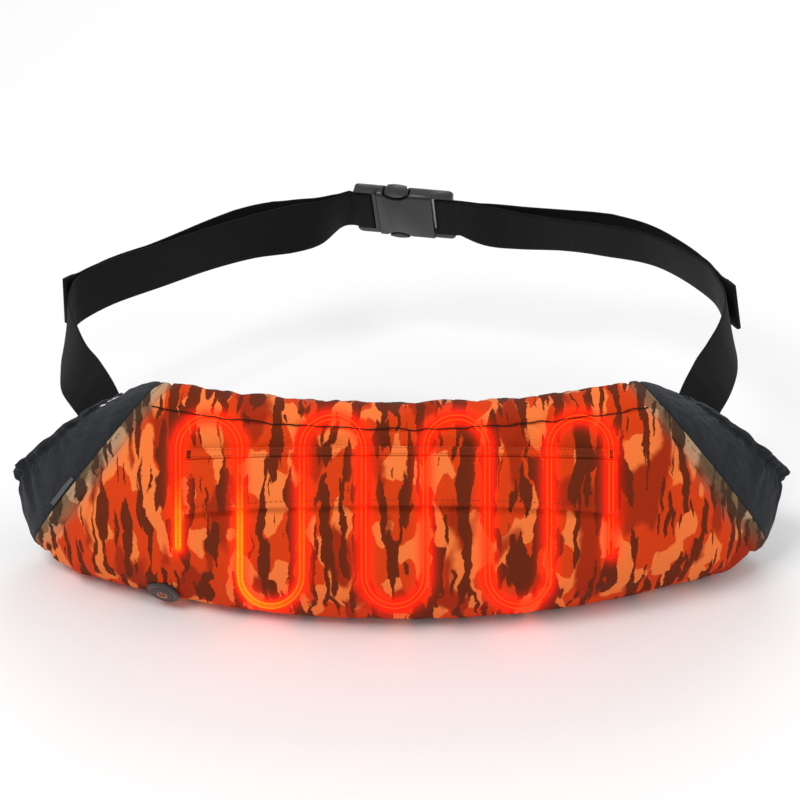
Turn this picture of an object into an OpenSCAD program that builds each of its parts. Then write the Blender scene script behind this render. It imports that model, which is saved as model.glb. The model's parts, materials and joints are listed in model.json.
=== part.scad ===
// Heated hand muff: a padded, curved tube worn on a waist belt. Millimetres, +Z up.
// The origin is the middle of the waist; the muff is in front (-Y) and the buckle behind (+Y).

/* [Muff tube] */
// Radius of the arc that the middle of the tube follows round the waist
curve_r = 420; // [400:5:460]
// Distance of that arc's centre behind the middle of the waist
curve_y = 225; // [215:1:240]
// Height of the tube's top edge above the belt's middle
top_z = 33; // [28:1:38]
// Height of the tube's bottom edge
bottom_z = -120; // [-122:1:-116]
// Half the tube's thickness, front to back
half_thick = 34; // [33:0.5:37]
// Half angle that the top edge spans round the arc
top_angle = 21.4; // [20:0.1:22]
// Half angle that the bottom edge spans round the arc
bottom_angle = 34.5; // [33:0.1:36]
// Roundness of the section: 1 is an ellipse, less is boxier
section_power = 0.85; // [0.8:0.01:1]
// Thickness lost towards each end
end_taper = 3; // [0:0.5:4]
// Height that the top edge gains towards each end
top_lift = -1; // [-2:0.5:2]
// Height that the bottom edge gains towards each end
bottom_lift = 11; // [8:0.5:12]

/* [Cuffs] */
// Middle of the right opening
opening_mid = [218, -121, -28.5];
// From there to the opening's upper end
opening_up = [-33.5, -12, 35];
// From there to the opening's front lip
opening_out = [14, -17.5, 4];

/* [Pocket] */
// Half angle that the flap spans round the arc
flap_angle = 17.2; // [15:0.1:18]
// Half angle that the pocket bag spans
bag_angle = 15.6; // [14:0.1:16]
// Section angle of the zip, above the front's middle
zip_at = 27; // [26:0.5:28]
// Half angle that the zip spans
zip_angle = 14.6; // [13:0.1:15]
// Pitch of the zip's teeth
tooth_pitch = 3.2; // [3:0.1:5]

/* [Heater] */
// Distance between neighbouring legs of the heating wire
leg_pitch = 39.6; // [36:0.1:42]
// Number of legs
legs = 8; // [4:2:8]
// Radius of the insulated heating wire
wire_r = 1; // [0.8:0.1:1]

/* [Power button] */
// Angle round the arc where the button sits
button_theta = -20.1; // [-20.4:0.1:-19.5]
// Section angle of the button, below the front's middle
button_at = -50; // [-52:1:-48]
// Radius of the bezel
bezel_r = 11; // [10:0.1:12]

/* [Belt] */
// Width of the webbing
webbing_w = 38; // [36:0.5:38]
// Thickness of the webbing
webbing_t = 1.6; // [1.4:0.1:1.8]

/* [Buckle] */
// Middle of the buckle
buckle_pos = [4, 158, 6];
// Turn of the buckle about the vertical
buckle_yaw = -12; // [-15:1:-9]
// Lean of the buckle's top towards the wearer
buckle_lean = 25; // [20:1:28]
// Height of the buckle, across the webbing
buckle_h = 48; // [48:0.5:50]
// Thickness of the socket
buckle_t = 11; // [11:0.5:12]

/* [Hidden] */
$fn = 48;
LEFT = -1;
RIGHT = 1;
CAMO = "#b5562f";
FLEECE = "#1d232b";
BLACK = "#1c1b1d";

// ---------- the tube's surface ----------
mid_angle = (top_angle + bottom_angle) / 2;
fan_angle = (bottom_angle - top_angle) / 2;
straight_t = 0.85; // up to this share of the length the section doesn't change

function smooth(u) = let (v = min(max(u, 0), 1)) v * v * (3 - 2 * v);
function power(v) = sign(v) * pow(abs(v), section_power);
function end_share(t) = smooth((abs(t) - straight_t) / (1 - straight_t));
function half_t(t) = half_thick - end_taper * end_share(t);
function upper_z(t) = top_z + top_lift * end_share(t);
function lower_z(t) = bottom_z + bottom_lift * end_share(t);
function half_h(t) = (upper_z(t) - lower_z(t)) / 2;
function mid_z(t) = (upper_z(t) + lower_z(t)) / 2;
// A layer's depth below the surface is a number, or [mean, extra at the front and less at the back]
function depth(d, a) = is_list(d) ? d[0] + d[1] * cos(a) : d;

// A point on the body: t runs -1 to 1 along it, a round the section (0 front, 90 top, 180 back)
function body_point(t, a, d) =
    let (r = curve_r + (half_t(t) - depth(d, a)) * power(cos(a)),
         turn = t * (mid_angle - fan_angle * power(sin(a))))
    [r * sin(turn), curve_y - r * cos(turn),
     mid_z(t) + (half_h(t) - depth(d, a)) * power(sin(a))];

function mirrored(p, side) = [side * p[0], p[1], p[2]];
function opening_point(side, a, d) =
    mirrored(opening_mid
        + opening_up * (1 - depth(d, a) / norm(opening_up)) * power(sin(a))
        + opening_out * (1 - depth(d, a) / norm(opening_out)) * power(cos(a)), side);

// A point on a cuff: w runs 0 at the body to 1 at the opening
cuff_swell = 3;
function cuff_point(side, w, a, d) =
    let (from = body_point(side, a, d - cuff_swell * sin(180 * w)), to = opening_point(side, a, d))
    from + (to - from) * w;

function between(lo, hi, n) = [for (i = [0:n]) lo + (hi - lo) * i / n];

// A closed solid between an outer and an inner grid of points; each grid is a list of rows.
// With closed = true the rows are rings.
module shell(outer, inner, closed = false) {
    rows = len(outer);
    cols = len(outer[0]);
    last = closed ? cols : cols - 1;
    points = concat([for (row = outer) each row], [for (row = inner) each row]);
    inside = rows * cols;
    function at(i, j) = i * cols + (j % cols);
    function quad(a, b, c, d) = [[a, b, c], [a, c, d]];
    faces = concat(
        [for (i = [0:rows - 2], j = [0:last - 1])
            each quad(at(i, j), at(i, j + 1), at(i + 1, j + 1), at(i + 1, j))],
        [for (i = [0:rows - 2], j = [0:last - 1])
            each quad(inside + at(i, j), inside + at(i + 1, j),
                      inside + at(i + 1, j + 1), inside + at(i, j + 1))],
        [for (j = [0:last - 1])
            each quad(at(0, j), inside + at(0, j), inside + at(0, j + 1), at(0, j + 1))],
        [for (j = [0:last - 1])
            each quad(at(rows - 1, j), at(rows - 1, j + 1),
                      inside + at(rows - 1, j + 1), inside + at(rows - 1, j))],
        closed ? [] : [for (i = [0:rows - 2])
            each quad(at(i, 0), at(i + 1, 0), inside + at(i + 1, 0), inside + at(i, 0))],
        closed ? [] : [for (i = [0:rows - 2])
            each quad(at(i, cols - 1), inside + at(i, cols - 1),
                      inside + at(i + 1, cols - 1), at(i + 1, cols - 1))]);
    polyhedron(points, faces, convexity = 8);
}

// A layer of the body between two depths, over a range of t and of section angle
module body_layer(ts, angles, outer, inner, closed = false)
    shell([for (t = ts) [for (a = angles) body_point(t, a, outer)]],
          [for (t = ts) [for (a = angles) body_point(t, a, inner)]], closed);

ring = [for (i = [0:35]) i * 10];
cuff_ring = [for (i = [0:27]) i * 360 / 28];
module cuff_layer(side, ws, outer, inner) {
    rows_out = [for (w = ws) [for (a = cuff_ring) cuff_point(side, w, a, outer)]];
    rows_in = [for (w = ws) [for (a = cuff_ring) cuff_point(side, w, a, inner)]];
    if (side == RIGHT) shell(rows_out, rows_in, true);
    else shell([for (i = [len(ws) - 1:-1:0]) rows_out[i]], [for (i = [len(ws) - 1:-1:0]) rows_in[i]], true);
}

// ---------- layers, by depth below the surface ----------
cover_t = 1.2;
gap = 0.6;
wall_bias = 6; // how much deeper the front wall is than the mean, and the back wall shallower
bag_back = [8.9, wall_bias];
insulation_front = [9.2, wall_bias];
carrier_outer = [10.2, wall_bias];
carrier_inner = [10.6, wall_bias];
wire_depth = [12, wall_bias];
insulation_back = [12.7, wall_bias];
lining_outer = [13.4, wall_bias];
lining_inner = [15.4, wall_bias];
top_seam = 65;
back_seam = 120;
bottom_seam = 274;
panel_end = 0.95;
along_panel = between(-panel_end, panel_end, 20);
along_padding = between(-0.945, 0.945, 18);

module front_panel() color(CAMO) difference() {
    body_layer(along_panel, between(bottom_seam - 360, top_seam, 15), 0, cover_t);
    round_waist(zip_angle + 0.4) at_zip() square([9, 13], center = true);
    at_button() cylinder(r = 9.9, h = 12, center = true);
}

module top_panel() color(CAMO)
    body_layer(along_panel, between(top_seam + 0.5, back_seam - 0.5, 5), 0, cover_t);

module back_panel() color(CAMO)
    body_layer(along_panel, between(back_seam, bottom_seam - 0.5, 13), 0, cover_t);

module end_band(side) color("#9c7a5a") {
    ts = side == RIGHT ? [0.953, 0.976, 0.998] : [-0.998, -0.976, -0.953];
    body_layer(ts, ring, 0, lining_inner, true);
}

module front_insulation() color("#e8e4da") difference() {
    body_layer(along_padding, between(-85, 88, 17), cover_t + gap, insulation_front);
    round_waist(bag_angle + 0.4) section_band(-50, 54, 0, [10.6, wall_bias]);
    at_button() cylinder(r = 12.8, h = 60, center = true);
}

module back_insulation() color("#e8e4da")
    body_layer(along_padding, between(92, 270, 17), cover_t + gap, insulation_back);

// One panel of the tunnel's lining, between two section angles and two shares of its length
lining_end = 0.945;
module hand_lining(from, to, n, start = -lining_end, end = lining_end) color(FLEECE)
    body_layer(between(start + 0.001, end - 0.001, round((end - start) * 9.5)),
               between(from + 0.4, to - 0.4, n), lining_outer, lining_inner);

module cuff_shell(side) color(FLEECE) cuff_layer(side, [0.02, 0.2, 0.4, 0.6, 0.8, 1], 0, 1.5);
module cuff_lining(side) color("#262d36") cuff_layer(side, [0.02, 0.2, 0.4, 0.6, 0.8, 1], 3.2, 4.7);
module cuff_elastic(side) color("#d8d8d4") cuff_layer(side, [0.8, 0.96], 1.9, 2.7);

module cuff_label() color("#101010") {
    angles = between(-11, 5, 4);
    shell([for (w = [0.13, 0.08, 0.03]) [for (a = angles) cuff_point(LEFT, w, a, -1)]],
          [for (w = [0.13, 0.08, 0.03]) [for (a = angles) cuff_point(LEFT, w, a, -0.4)]]);
}

// ---------- pieces that follow the arc exactly ----------
// Spins a [radius, z] profile about the arc's own centre
module round_waist(half_angle, middle = 0)
    translate([0, curve_y, 0]) rotate([0, 0, middle - 90 - half_angle])
        rotate_extrude(angle = 2 * half_angle, $fn = 180) children();

// The section as [radius, z], where it doesn't change along the tube
function section_point(a, d) =
    [curve_r + (half_thick - depth(d, a)) * power(cos(a)),
     mid_z(0) + (half_h(0) - depth(d, a)) * power(sin(a))];
function turned(p, theta) = [p[0] * sin(theta), curve_y - p[0] * cos(theta), p[1]];
function section_slope(a) =
    let (v = section_point(a + 2, 0) - section_point(a - 2, 0)) atan2(v[1], v[0]) - 90;

// The part of the wall between two section angles and two depths
module section_band(from, to, outer, inner, n = 10)
    polygon(concat([for (a = between(from, to, n)) section_point(a, outer)],
                   [for (a = between(to, from, n)) section_point(a, inner)]));

// 2D frame on the surface at the zip: x outward, y up the section
module at_zip() translate(section_point(zip_at, 0)) rotate(section_slope(zip_at)) children();

flap_low = 17;
welt_low = 43.5;
welt_high = 50;
flap_inner = -3.4;
flap_outer = -5.6;
// The pocket's line is straight, so it sinks down the section towards its ends
function flap_droop(theta) = 12 * pow(theta / flap_angle, 2);
function strip_row(theta, low, high, d, n) =
    [for (a = between(low, high, n)) turned(section_point(a - flap_droop(theta), d), theta)];
module flap_strip(low, high, outer, inner, n) {
    thetas = between(-flap_angle, flap_angle, 18);
    shell([for (theta = thetas) strip_row(theta, low, high, outer, n)],
          [for (theta = thetas) strip_row(theta, low, high, inner, n)]);
}
module pocket_flap() color(CAMO) flap_strip(flap_low, welt_low - 0.4, flap_outer, flap_inner, 8);
module flap_welt() color("#c96a3c") flap_strip(welt_low, welt_high, flap_outer, -0.3, 3);

bag_t = 0.6;
bag_low = -48;
bag_high = 51;
bag_front = 1.8;
bag_end = 0.1; // the thickness of its ends, as an angle
module pocket_bag() color("#2a2a2e") difference() {
    round_waist(bag_angle)
        section_band(bag_low, bag_high, bag_front, bag_back + [bag_t, 0], 12);
    round_waist(bag_angle - bag_end)
        section_band(bag_low + 0.8, bag_high - 0.8, bag_front + bag_t, bag_back, 12);
    round_waist(bag_angle - bag_end)
        section_band(zip_at - 12, bag_high - 0.8, bag_front - 2, bag_front + 2, 6);
    at_front(lead_theta, 15, lead_z) rotate([90, 0, 0]) cylinder(r = 3.2, h = 12, center = true);
}

// ---------- zip ----------
module zip_tape(side) color("#17171a")
    round_waist(zip_angle) section_band(zip_at + side * 2.7, zip_at + side * 11.3, 1.8, 2.4, 4);

zip_radius = section_point(zip_at, 1.7)[0];
tooth_angle = tooth_pitch / zip_radius * 180 / PI;
module zip_teeth() color("#3a3a3e")
    for (i = [0:floor(2 * (zip_angle - 0.9) / tooth_angle) - 1], side = [0, 1])
        round_waist(0.07, -zip_angle + 0.5 + (i + side / 2) * tooth_angle)
            at_zip() translate([-2.6, side == 1 ? 0.55 : -2.1]) square([1.8, 1.55]);

module zip_stops() color("#3a3a3e")
    for (end = [LEFT, RIGHT]) round_waist(0.1, end * (zip_angle - 0.1))
        at_zip() translate([-2.6, -1.8]) square([1.8, 3.6]);

// Places its children at the zip: x along the travel, y up the section, z outward
slider_theta = zip_angle - 0.9;
module on_zip(theta) translate([0, curve_y, 0]) rotate([0, 0, theta])
    translate([0, -section_point(zip_at, 0)[0], section_point(zip_at, 0)[1]])
        rotate([90 - section_slope(zip_at), 0, 0]) children();

pull_post_r = 0.7;
module zip_slider() color("#2c2c30") on_zip(slider_theta) {
    translate([-5, -4.5, -0.5]) cube([10, 9, 1.2]);
    translate([-5, -4.5, -4.2]) cube([10, 9, 1.2]);
    translate([3.9, -0.35, -3.1]) cube([1, 0.7, 2.7]);
    for (x = [-3, 2]) translate([x, 0, 0.6]) cylinder(r = pull_post_r, h = 1.7);
    translate([-3.7, -0.7, 2.1]) cube([6.4, 1.4, 0.5]);
}

module zip_pull() color("#2c2c30") on_zip(slider_theta) translate([-3, 0, 0.9]) difference() {
    union() {
        cylinder(r = 1.9, h = 1);
        translate([-1.6, -12, 0]) cube([3.2, 12, 1]);
        translate([0, -12, 0]) cylinder(r = 1.6, h = 1);
    }
    translate([0, 0, -1]) cylinder(r = pull_post_r + 0.15, h = 3);
}

// ---------- heater ----------
// A point of the wire's layer, x round the arc and z up from the tube's middle, both in mm
function layer_point(x, z) =
    let (a = asin(sign(z) * pow(min(abs(z) / (half_h(0) - 12), 1), 1 / section_power)),
         p = section_point(a, wire_depth),
         turn = x / curve_r * 180 / PI)
    [p[0] * sin(turn), curve_y - p[0] * cos(turn), p[1]];

leg_top = 34;
leg_low = -26;
leg_end = -14;
function leg_x(i) = (i - (legs - 1) / 2) * leg_pitch;
function bend_point(i, phi) =
    let (up = i % 2 == 0 ? 1 : -1, r = leg_pitch / 2)
    [leg_x(i) + r - r * cos(phi), (up == 1 ? leg_top : leg_low) + up * r * sin(phi)];
function leg_points(i, from, to) = [for (z = between(from, to, 4)) [leg_x(i), z]];
function bend_points(i) = [for (phi = [30:30:150]) bend_point(i, phi)];
wire_plan = concat(
    leg_points(0, leg_end, leg_top), bend_points(0),
    [for (i = [1:legs - 2]) let (up = i % 2 == 0)
        each concat(leg_points(i, up ? leg_low : leg_top, up ? leg_top : leg_low), bend_points(i))],
    leg_points(legs - 1, leg_top, leg_end));
wire_route = [for (p = wire_plan) layer_point(p[0], p[1])];

// A round tube swept along a route
module tube(route, r, sides = 8) {
    n = len(route);
    function way(i) = let (v = route[min(i + 1, n - 1)] - route[max(i - 1, 0)]) v / norm(v);
    function side_of(v) = let (s = cross(v, [0.13, 1, 0.21])) s / norm(s);
    rings = [for (i = [0:n - 1]) let (v = way(i), s = side_of(v), u = cross(v, s))
        [for (k = [0:sides - 1]) route[i] + r * (s * cos(k * 360 / sides) + u * sin(k * 360 / sides))]];
    points = [for (row = rings) each row];
    faces = concat(
        [[for (k = [0:sides - 1]) sides - 1 - k]],
        [for (i = [0:n - 2], k = [0:sides - 1]) let (k2 = (k + 1) % sides)
            each [[i * sides + k, i * sides + k2, (i + 1) * sides + k2],
                  [i * sides + k, (i + 1) * sides + k2, (i + 1) * sides + k]]],
        [[for (k = [0:sides - 1]) (n - 1) * sides + k]]);
    polyhedron(points, [for (f = faces) [for (j = [len(f) - 1:-1:0]) f[j]]], convexity = 10);
}

module heater_wire() color("#ff4a10") tube(wire_route, wire_r);

module heater_carrier() color("#e8b090") difference() {
    body_layer(between(-0.84, 0.84, 18), between(-65, 70, 18), carrier_outer, carrier_inner);
    at_front(lead_theta, 16, lead_z) rotate([90, 0, 0]) cylinder(r = 3.2, h = 8, center = true);
    at_button() cylinder(r = 10.5, h = 60, center = true);
}

// ---------- where the power button sits ----------
button_foot = section_point(button_at, 0);
button_tilt = section_slope(button_at);
// Places its children at the button: z is outward from the cover
module at_button() translate([0, curve_y, 0]) rotate([0, 0, button_theta])
    translate([0, -button_foot[0], button_foot[1]]) rotate([90 - button_tilt, 0, 0]) children();
// A point in that frame: x round the arc, y up the section, h out from the cover
function button_point(x, y, h) =
    let (r = button_foot[0] + h * cos(button_tilt) - y * sin(button_tilt),
         z = button_foot[1] + h * sin(button_tilt) + y * cos(button_tilt),
         t = button_theta)
    [r * sin(t) + x * cos(t), curve_y - r * cos(t) + x * sin(t), z];

// ---------- battery, in the pocket ----------
battery_theta = 4.2;
battery_depth = 6.6;
battery_tilt = 3.1; // follows the lean of the pocket's walls
battery_z = -52;
battery = [84, 7.4, 54];
battery_wall = 1;
// x to the right, y into the muff and z up, from a depth below the front
module at_front(theta, d, z) translate([0, curve_y, 0]) rotate([0, 0, theta])
    translate([0, -(curve_r + half_thick - d), z]) children();
module at_battery() at_front(battery_theta, battery_depth, battery_z) rotate([battery_tilt, 0, 0]) children();

module half_case(y, open_y) difference() {
    translate([-battery[0] / 2, y, -battery[2] / 2]) cube([battery[0], battery[1] / 2 - 0.05, battery[2]]);
    translate([-battery[0] / 2 + battery_wall, open_y, -battery[2] / 2 + battery_wall])
        cube([battery[0] - 2 * battery_wall, battery[1] / 2, battery[2] - 2 * battery_wall]);
    jack_hole();
}
module jack_hole() translate([-battery[0] / 2 - 1, battery[1] / 2, 0]) rotate([0, 90, 0]) cylinder(r = 2.55, h = 9);
module battery_case_front() color("#202124") at_battery() half_case(0, battery_wall);
module battery_case_back() color("#202124") at_battery()
    half_case(battery[1] / 2 + 0.05, battery[1] / 2 - battery_wall);
module battery_cells() color("#8fa7b5") at_battery()
    for (x = [-22, 10]) translate([x, 1.5, -24.5]) cube([30, 4.4, 49]);
module battery_board() color("#2f6b3a") at_battery() translate([-27, 1.6, -20]) cube([1.2, 4.2, 40]);

lead_theta = -5.4;
lead_z = -62;
lead_r = 1;
grommet_r = 3.1;
module battery_plug() color("#2a2b2e") at_battery() translate([-battery[0] / 2, battery[1] / 2, 0]) rotate([0, -90, 0]) {
    translate([0, 0, -7.5]) cylinder(r = 2.5, h = 8);
    translate([0, 0, 0.4]) cylinder(r = 3.4, h = 9);
}

// A point in a frame like at_front's
function front_point(theta, d, x, z) =
    let (r = curve_r + half_thick - d)
    [r * sin(theta) + x * cos(theta), curve_y - r * cos(theta) + x * sin(theta), z];
plug_end = front_point(battery_theta, battery_depth + battery[1] / 2, -battery[0] / 2 - 10, battery_z + 0.2);
// A point of the wiring's layer, just outside the lining
function wiring_point(theta, a) = turned(section_point(a, wire_depth), theta);
lead_route = [
    plug_end,
    plug_end + [-3, -0.3, -1],
    front_point(lead_theta, 12.5, 0.3, lead_z + 0.5),
    front_point(lead_theta, 15, 0, lead_z),
    front_point(lead_theta, 17, 0, lead_z),
    wiring_point(lead_theta, -18),
    wiring_point(lead_theta - 0.2, -33),
    wiring_point(-6, -46),
    wiring_point(-8, -56),
    wiring_point(-12, -60),
    wiring_point(-16, -60),
    wiring_point(-18.7, -57),
    button_point(3, -1, -12.5),
    button_point(3, 0, -9.7)
];
module wiring_lead() color("#5a1512") tube(rounded(lead_route, 4), lead_r, 8);
module lead_grommet() color("#222326") at_front(lead_theta, 0, lead_z) rotate([-90, 0, 0]) difference() {
    translate([0, 0, 14.3]) cylinder(r = grommet_r, h = 2.8);
    translate([0, 0, 10]) cylinder(r = lead_r + 1.65, h = 9);
}

// The heating wire's two tails, down and along to the button
left_tail_route = [
    layer_point(leg_x(0), leg_end - 3),
    layer_point(leg_x(0) - 2, -32),
    wiring_point(-19.4, -44),
    button_point(-3, 2, -12.5),
    button_point(-3, 1, -9.3)
];
right_tail_route = [
    layer_point(leg_x(legs - 1), leg_end - 3),
    layer_point(leg_x(legs - 1), -34),
    wiring_point(18.5, -46), wiring_point(17.2, -57), wiring_point(15, -64),
    for (theta = [12:-3:-16]) wiring_point(theta, -69),
    wiring_point(-19.5, -64),
    button_point(0, -5, -12.5),
    button_point(0, -4, -9.3)
];
module left_heater_tail() color("#7a2410") tube(rounded(left_tail_route, 4), 0.8, 8);
module right_heater_tail() color("#7a2410") tube(rounded(right_tail_route, 4), 0.8, 8);

// ---------- power button ----------
cap_r = 7.3;
module button_bezel() color("#55565a") at_button() rotate_extrude() polygon([
    [8.3, -2.6], [9.6, -2.6], [9.6, 0.3], [bezel_r, 0.3], [bezel_r, 1.4],
    [bezel_r - 0.7, 2.3], [bezel_r - 1.7, 2.7], [8.3, 2.5]]);
module button_light_ring() color("#ff8a3a") at_button() difference() {
    translate([0, 0, -2.2]) cylinder(r = 8.15, h = 4.6);
    translate([0, 0, -4]) cylinder(r = 7.55, h = 9);
}
module button_cap() color("#3c3d40") at_button() rotate_extrude() polygon([
    [0, -1], [2, -1], [2, 1.2], [cap_r, 1.2], [cap_r, 2.3], [cap_r - 0.6, 2.9], [4, 3.2], [0, 3.3]]);
module button_base() color("#2b2c2f") at_button() difference() {
    translate([0, 0, -9]) cylinder(r = 11.6, h = 5.5);
    translate([0, 0, -8]) cylinder(r = 10.7, h = 9);
}
module button_board() color("#2f6b3a") at_button() translate([0, 0, -6]) cylinder(r = 10.5, h = 1);
module button_switch() color("#c8c8c8") at_button() {
    translate([-3, -3, -5]) cube([6, 6, 2.4]);
    translate([0, 0, -2.7]) cylinder(r = 1.6, h = 0.9);
}

// ---------- belt ----------
function spin_z(p, a) = [p[0] * cos(a) - p[1] * sin(a), p[0] * sin(a) + p[1] * cos(a), p[2]];
function lean_x(p, a) = [p[0], p[1] * cos(a) - p[2] * sin(a), p[1] * sin(a) + p[2] * cos(a)];
function on_buckle_point(p) = buckle_pos + spin_z(lean_x(p, buckle_lean), buckle_yaw);

bar_x = 27;
end_bar_x = 36;
turn_r = 2.9;
// Stations of each strap's inner run, from the muff to the buckle: x, y, z and the lean inward
function end_station(side, x) = concat(on_buckle_point([side * x, -turn_r, 0]), [buckle_lean]);
left_stations = [
    [-150, -129.3, -63, 0], [-166, -122.0, -52.5, 0], [-181, -113.4, -42, 6], [-203, -87, -21, 28],
    [-212, -73, -16, 34], [-221, -56, -14, 30], [-227, -34, -11, 20], [-231, -12, -7, 10],
    [-230, 8, -3, 4], [-226, 24, -1, 5], [-205, 48, 1, 6], [-171, 79, 0, 8],
    [-139, 106, 0, 9], [-108, 127, 0, 6], [-80, 140, 0, -5], [-60, 149, 1, 6],
    end_station(LEFT, 45), end_station(LEFT, end_bar_x), end_station(LEFT, bar_x)
];
right_stations = [
    [150, -129.3, -63, 0], [166, -122.0, -52.5, 0], [181, -113.2, -42, 6], [201, -87, -21, 28],
    [209, -73, -15, 34], [217, -56, -12, 30], [225, -34, -8, 22], [229, -8, -4, 13],
    [227, 18, -1, 12], [219, 54, 0, 20], [187, 101, 0, 28],
    [150, 119.7, 0, 28], [121, 129, 0, 28], [90, 136, 0, 20], [67, 142, 1, 14],
    end_station(RIGHT, 45), end_station(RIGHT, end_bar_x), end_station(RIGHT, bar_x)
];

function catmull(p, u) = 0.5 * ((2 * p[1]) + (p[2] - p[0]) * u
    + (2 * p[0] - 5 * p[1] + 4 * p[2] - p[3]) * u * u + (3 * p[1] - p[0] - 3 * p[2] + p[3]) * u * u * u);
// A smooth curve through the stations, with n steps between each pair
function rounded(s, n) = let (m = len(s) - 1) concat(
    [for (i = [0:m - 1], k = [0:n - 1])
        catmull([s[max(i - 1, 0)], s[i], s[i + 1], s[min(i + 2, m)]], k / n)],
    [s[m]]);

function xyz(p) = [p[0], p[1], p[2]];
function run_way(run, i) = let (v = xyz(run[min(i + 1, len(run) - 1)]) - xyz(run[max(i - 1, 0)])) v / norm(v);
// The webbing's width direction: vertical, square to its run, then leaned about it
function run_up(run, i) =
    let (v = run_way(run, i), flat = [0, 0, 1] - v * v[2], u = flat / norm(flat), a = -run[i][3] * run_side(run))
    u * cos(a) + cross(v, u) * sin(a);
function run_side(run) = run[0][0] < 0 ? LEFT : RIGHT;
function run_out(run, i) = cross(run_way(run, i), run_up(run, i)) * run_side(run);

// The loose tail lies on the outside of the inner run: [steps back from the buckle, gap between centres]
left_gaps = [[0, 1.8], [5, 1.8], [8, 2.2], [14, 8], [20, 14], [26, 12], [32, 7], [38, 2.5], [44, 1.95],
    [47, 3], [49, 6], [51, 9]];
right_gaps = [[0, 1.8], [5, 1.8], [9, 2.2], [16, 6], [24, 9], [31, 11], [37, 7], [42, 2.5], [45, 1.95],
    [47, 3], [49, 6], [51, 9]];
function tail_gap(side, k) = lookup(k, side == LEFT ? left_gaps : right_gaps);
tail_steps = 50;
steps = 6;

// Rows of four corners along a strap: out to the buckle, round the bar and back as the tail
function strip(p, up, out, t) = [for (c = [[-1, -1], [-1, 1], [1, 1], [1, -1]])
    p + up * c[0] * webbing_w / 2 + out * c[1] * t / 2];
function strap_rows(stations) =
    let (run = rounded(stations, steps), n = len(run), side = run_side(run),
         up = run_up(run, n - 1), far = run_out(run, n - 1), on = run_way(run, n - 1),
         bar = on_buckle_point([side * bar_x, 0, 0]), bend = n - 1 - steps)
    concat(
        [for (i = [0:n - 1]) strip(xyz(run[i]), run_up(run, i), run_out(run, i), webbing_t)],
        [for (a = [22.5:22.5:157.5])
            strip(bar + on * turn_r * sin(a) - far * turn_r * cos(a), up,
                  far * cos(a) - on * sin(a), webbing_t)],
        [strip(bar + far * turn_r, up, -far, webbing_t),
         strip(bar + far * 1.9 - on * 3.6, up, -far, webbing_t),
         strip(bar - far * 0.5 - on * 6.2, up, -far, webbing_t)],
        [for (k = [0:tail_steps]) let (i = bend - k)
            strip(xyz(run[i]) + run_out(run, i) * tail_gap(side, k), run_up(run, i), -run_out(run, i),
                  k > tail_steps - 3 ? 2 * webbing_t : webbing_t)]);

// A solid through rows of four corners
module ribbon(rows, flip) {
    n = len(rows);
    faces = concat(
        [[0, 1, 2, 3]],
        [for (i = [0:n - 2], c = [0:3]) let (d = (c + 1) % 4)
            each [[i * 4 + c, (i + 1) * 4 + c, (i + 1) * 4 + d], [i * 4 + c, (i + 1) * 4 + d, i * 4 + d]]],
        [[for (c = [3:-1:0]) (n - 1) * 4 + c]]);
    polyhedron([for (row = rows) each row],
        [for (f = faces) flip ? [for (j = [len(f) - 1:-1:0]) f[j]] : f], convexity = 12);
}
module strap(stations) ribbon(strap_rows(stations), stations[0][0] > 0);

// The patch sewn over the start of a strap
module strap_anchor(stations) color("#202022") {
    run = rounded(stations, steps);
    ribbon([for (i = [0:9]) strip(xyz(run[i]) - run_out(run, i) * 1.9, run_up(run, i) * 1.24,
                                  run_out(run, i), 0.9)], stations[0][0] > 0);
}

// ---------- buckle: x along the belt, y outward, z up ----------
module on_buckle() translate(buckle_pos) rotate([0, 0, buckle_yaw]) rotate([buckle_lean, 0, 0]) children();

module soft_rect(w, h, r) {
    square([w - 2 * r, h], center = true);
    square([w, h - 2 * r], center = true);
    for (x = [-1, 1], y = [-1, 1]) translate([x * (w / 2 - r), y * (h / 2 - r)]) circle(r = r);
}
// A bar of that section along x, from x0 to x1
module x_bar(x0, x1) translate([x0, 0, 0]) rotate([90, 0, 90]) linear_extrude(x1 - x0) children();

rail_in = 19.8;
rail_t = buckle_h / 2 - rail_in;
frame_end = 38;
// The webbing end of either half, for the half on the right
module webbing_frame() {
    for (z = [-1, 1]) translate([0, -2.4, z > 0 ? rail_in : -buckle_h / 2]) {
        translate([20, 0, 0]) cube([frame_end - rail_t - 20, 6, rail_t]);
        intersection() {
            translate([frame_end - rail_t, 6, z > 0 ? 0 : rail_t]) rotate([90, 0, 0]) cylinder(r = rail_t, h = 6);
            translate([30, 0, 0]) cube([9, 6, rail_t]);
        }
    }
    translate([bar_x, 0, -rail_in - 0.5]) cylinder(r = 2, h = 2 * rail_in + 1);
    translate([end_bar_x - 1.6, 1.2, -rail_in - 0.5]) cube([3.2, 2.4, 2 * rail_in + 1]);
}

scoop_x = -5;
scoop_z = 31;
scoop_r = 13;
module buckle_socket() color(BLACK) on_buckle() {
    difference() {
        x_bar(-19.6, 22.2) soft_rect(buckle_t, buckle_h, 3.5);
        x_bar(-21, 17) soft_rect(7.2, 42, 2);
        for (z = [-1, 1]) {
            translate([-15, -3.6, z > 0 ? 18 : -25]) cube([20.5, 7.2, 7]);
            translate([scoop_x, 10, z * scoop_z]) rotate([90, 0, 0]) cylinder(r = scoop_r, h = 20);
        }
    }
    webbing_frame();
}

module buckle_clip() color(BLACK) on_buckle() {
    mirror([1, 0, 0]) webbing_frame();
    x_bar(-23.2, -20.4) soft_rect(8, buckle_h, 3.5);
    x_bar(-20.5, 14) soft_rect(5.6, 14, 2);
    for (z = [-1, 1]) x_bar(-20.5, 4) translate([0, z * 6.6]) soft_rect(3, 4, 1);
}

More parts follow.
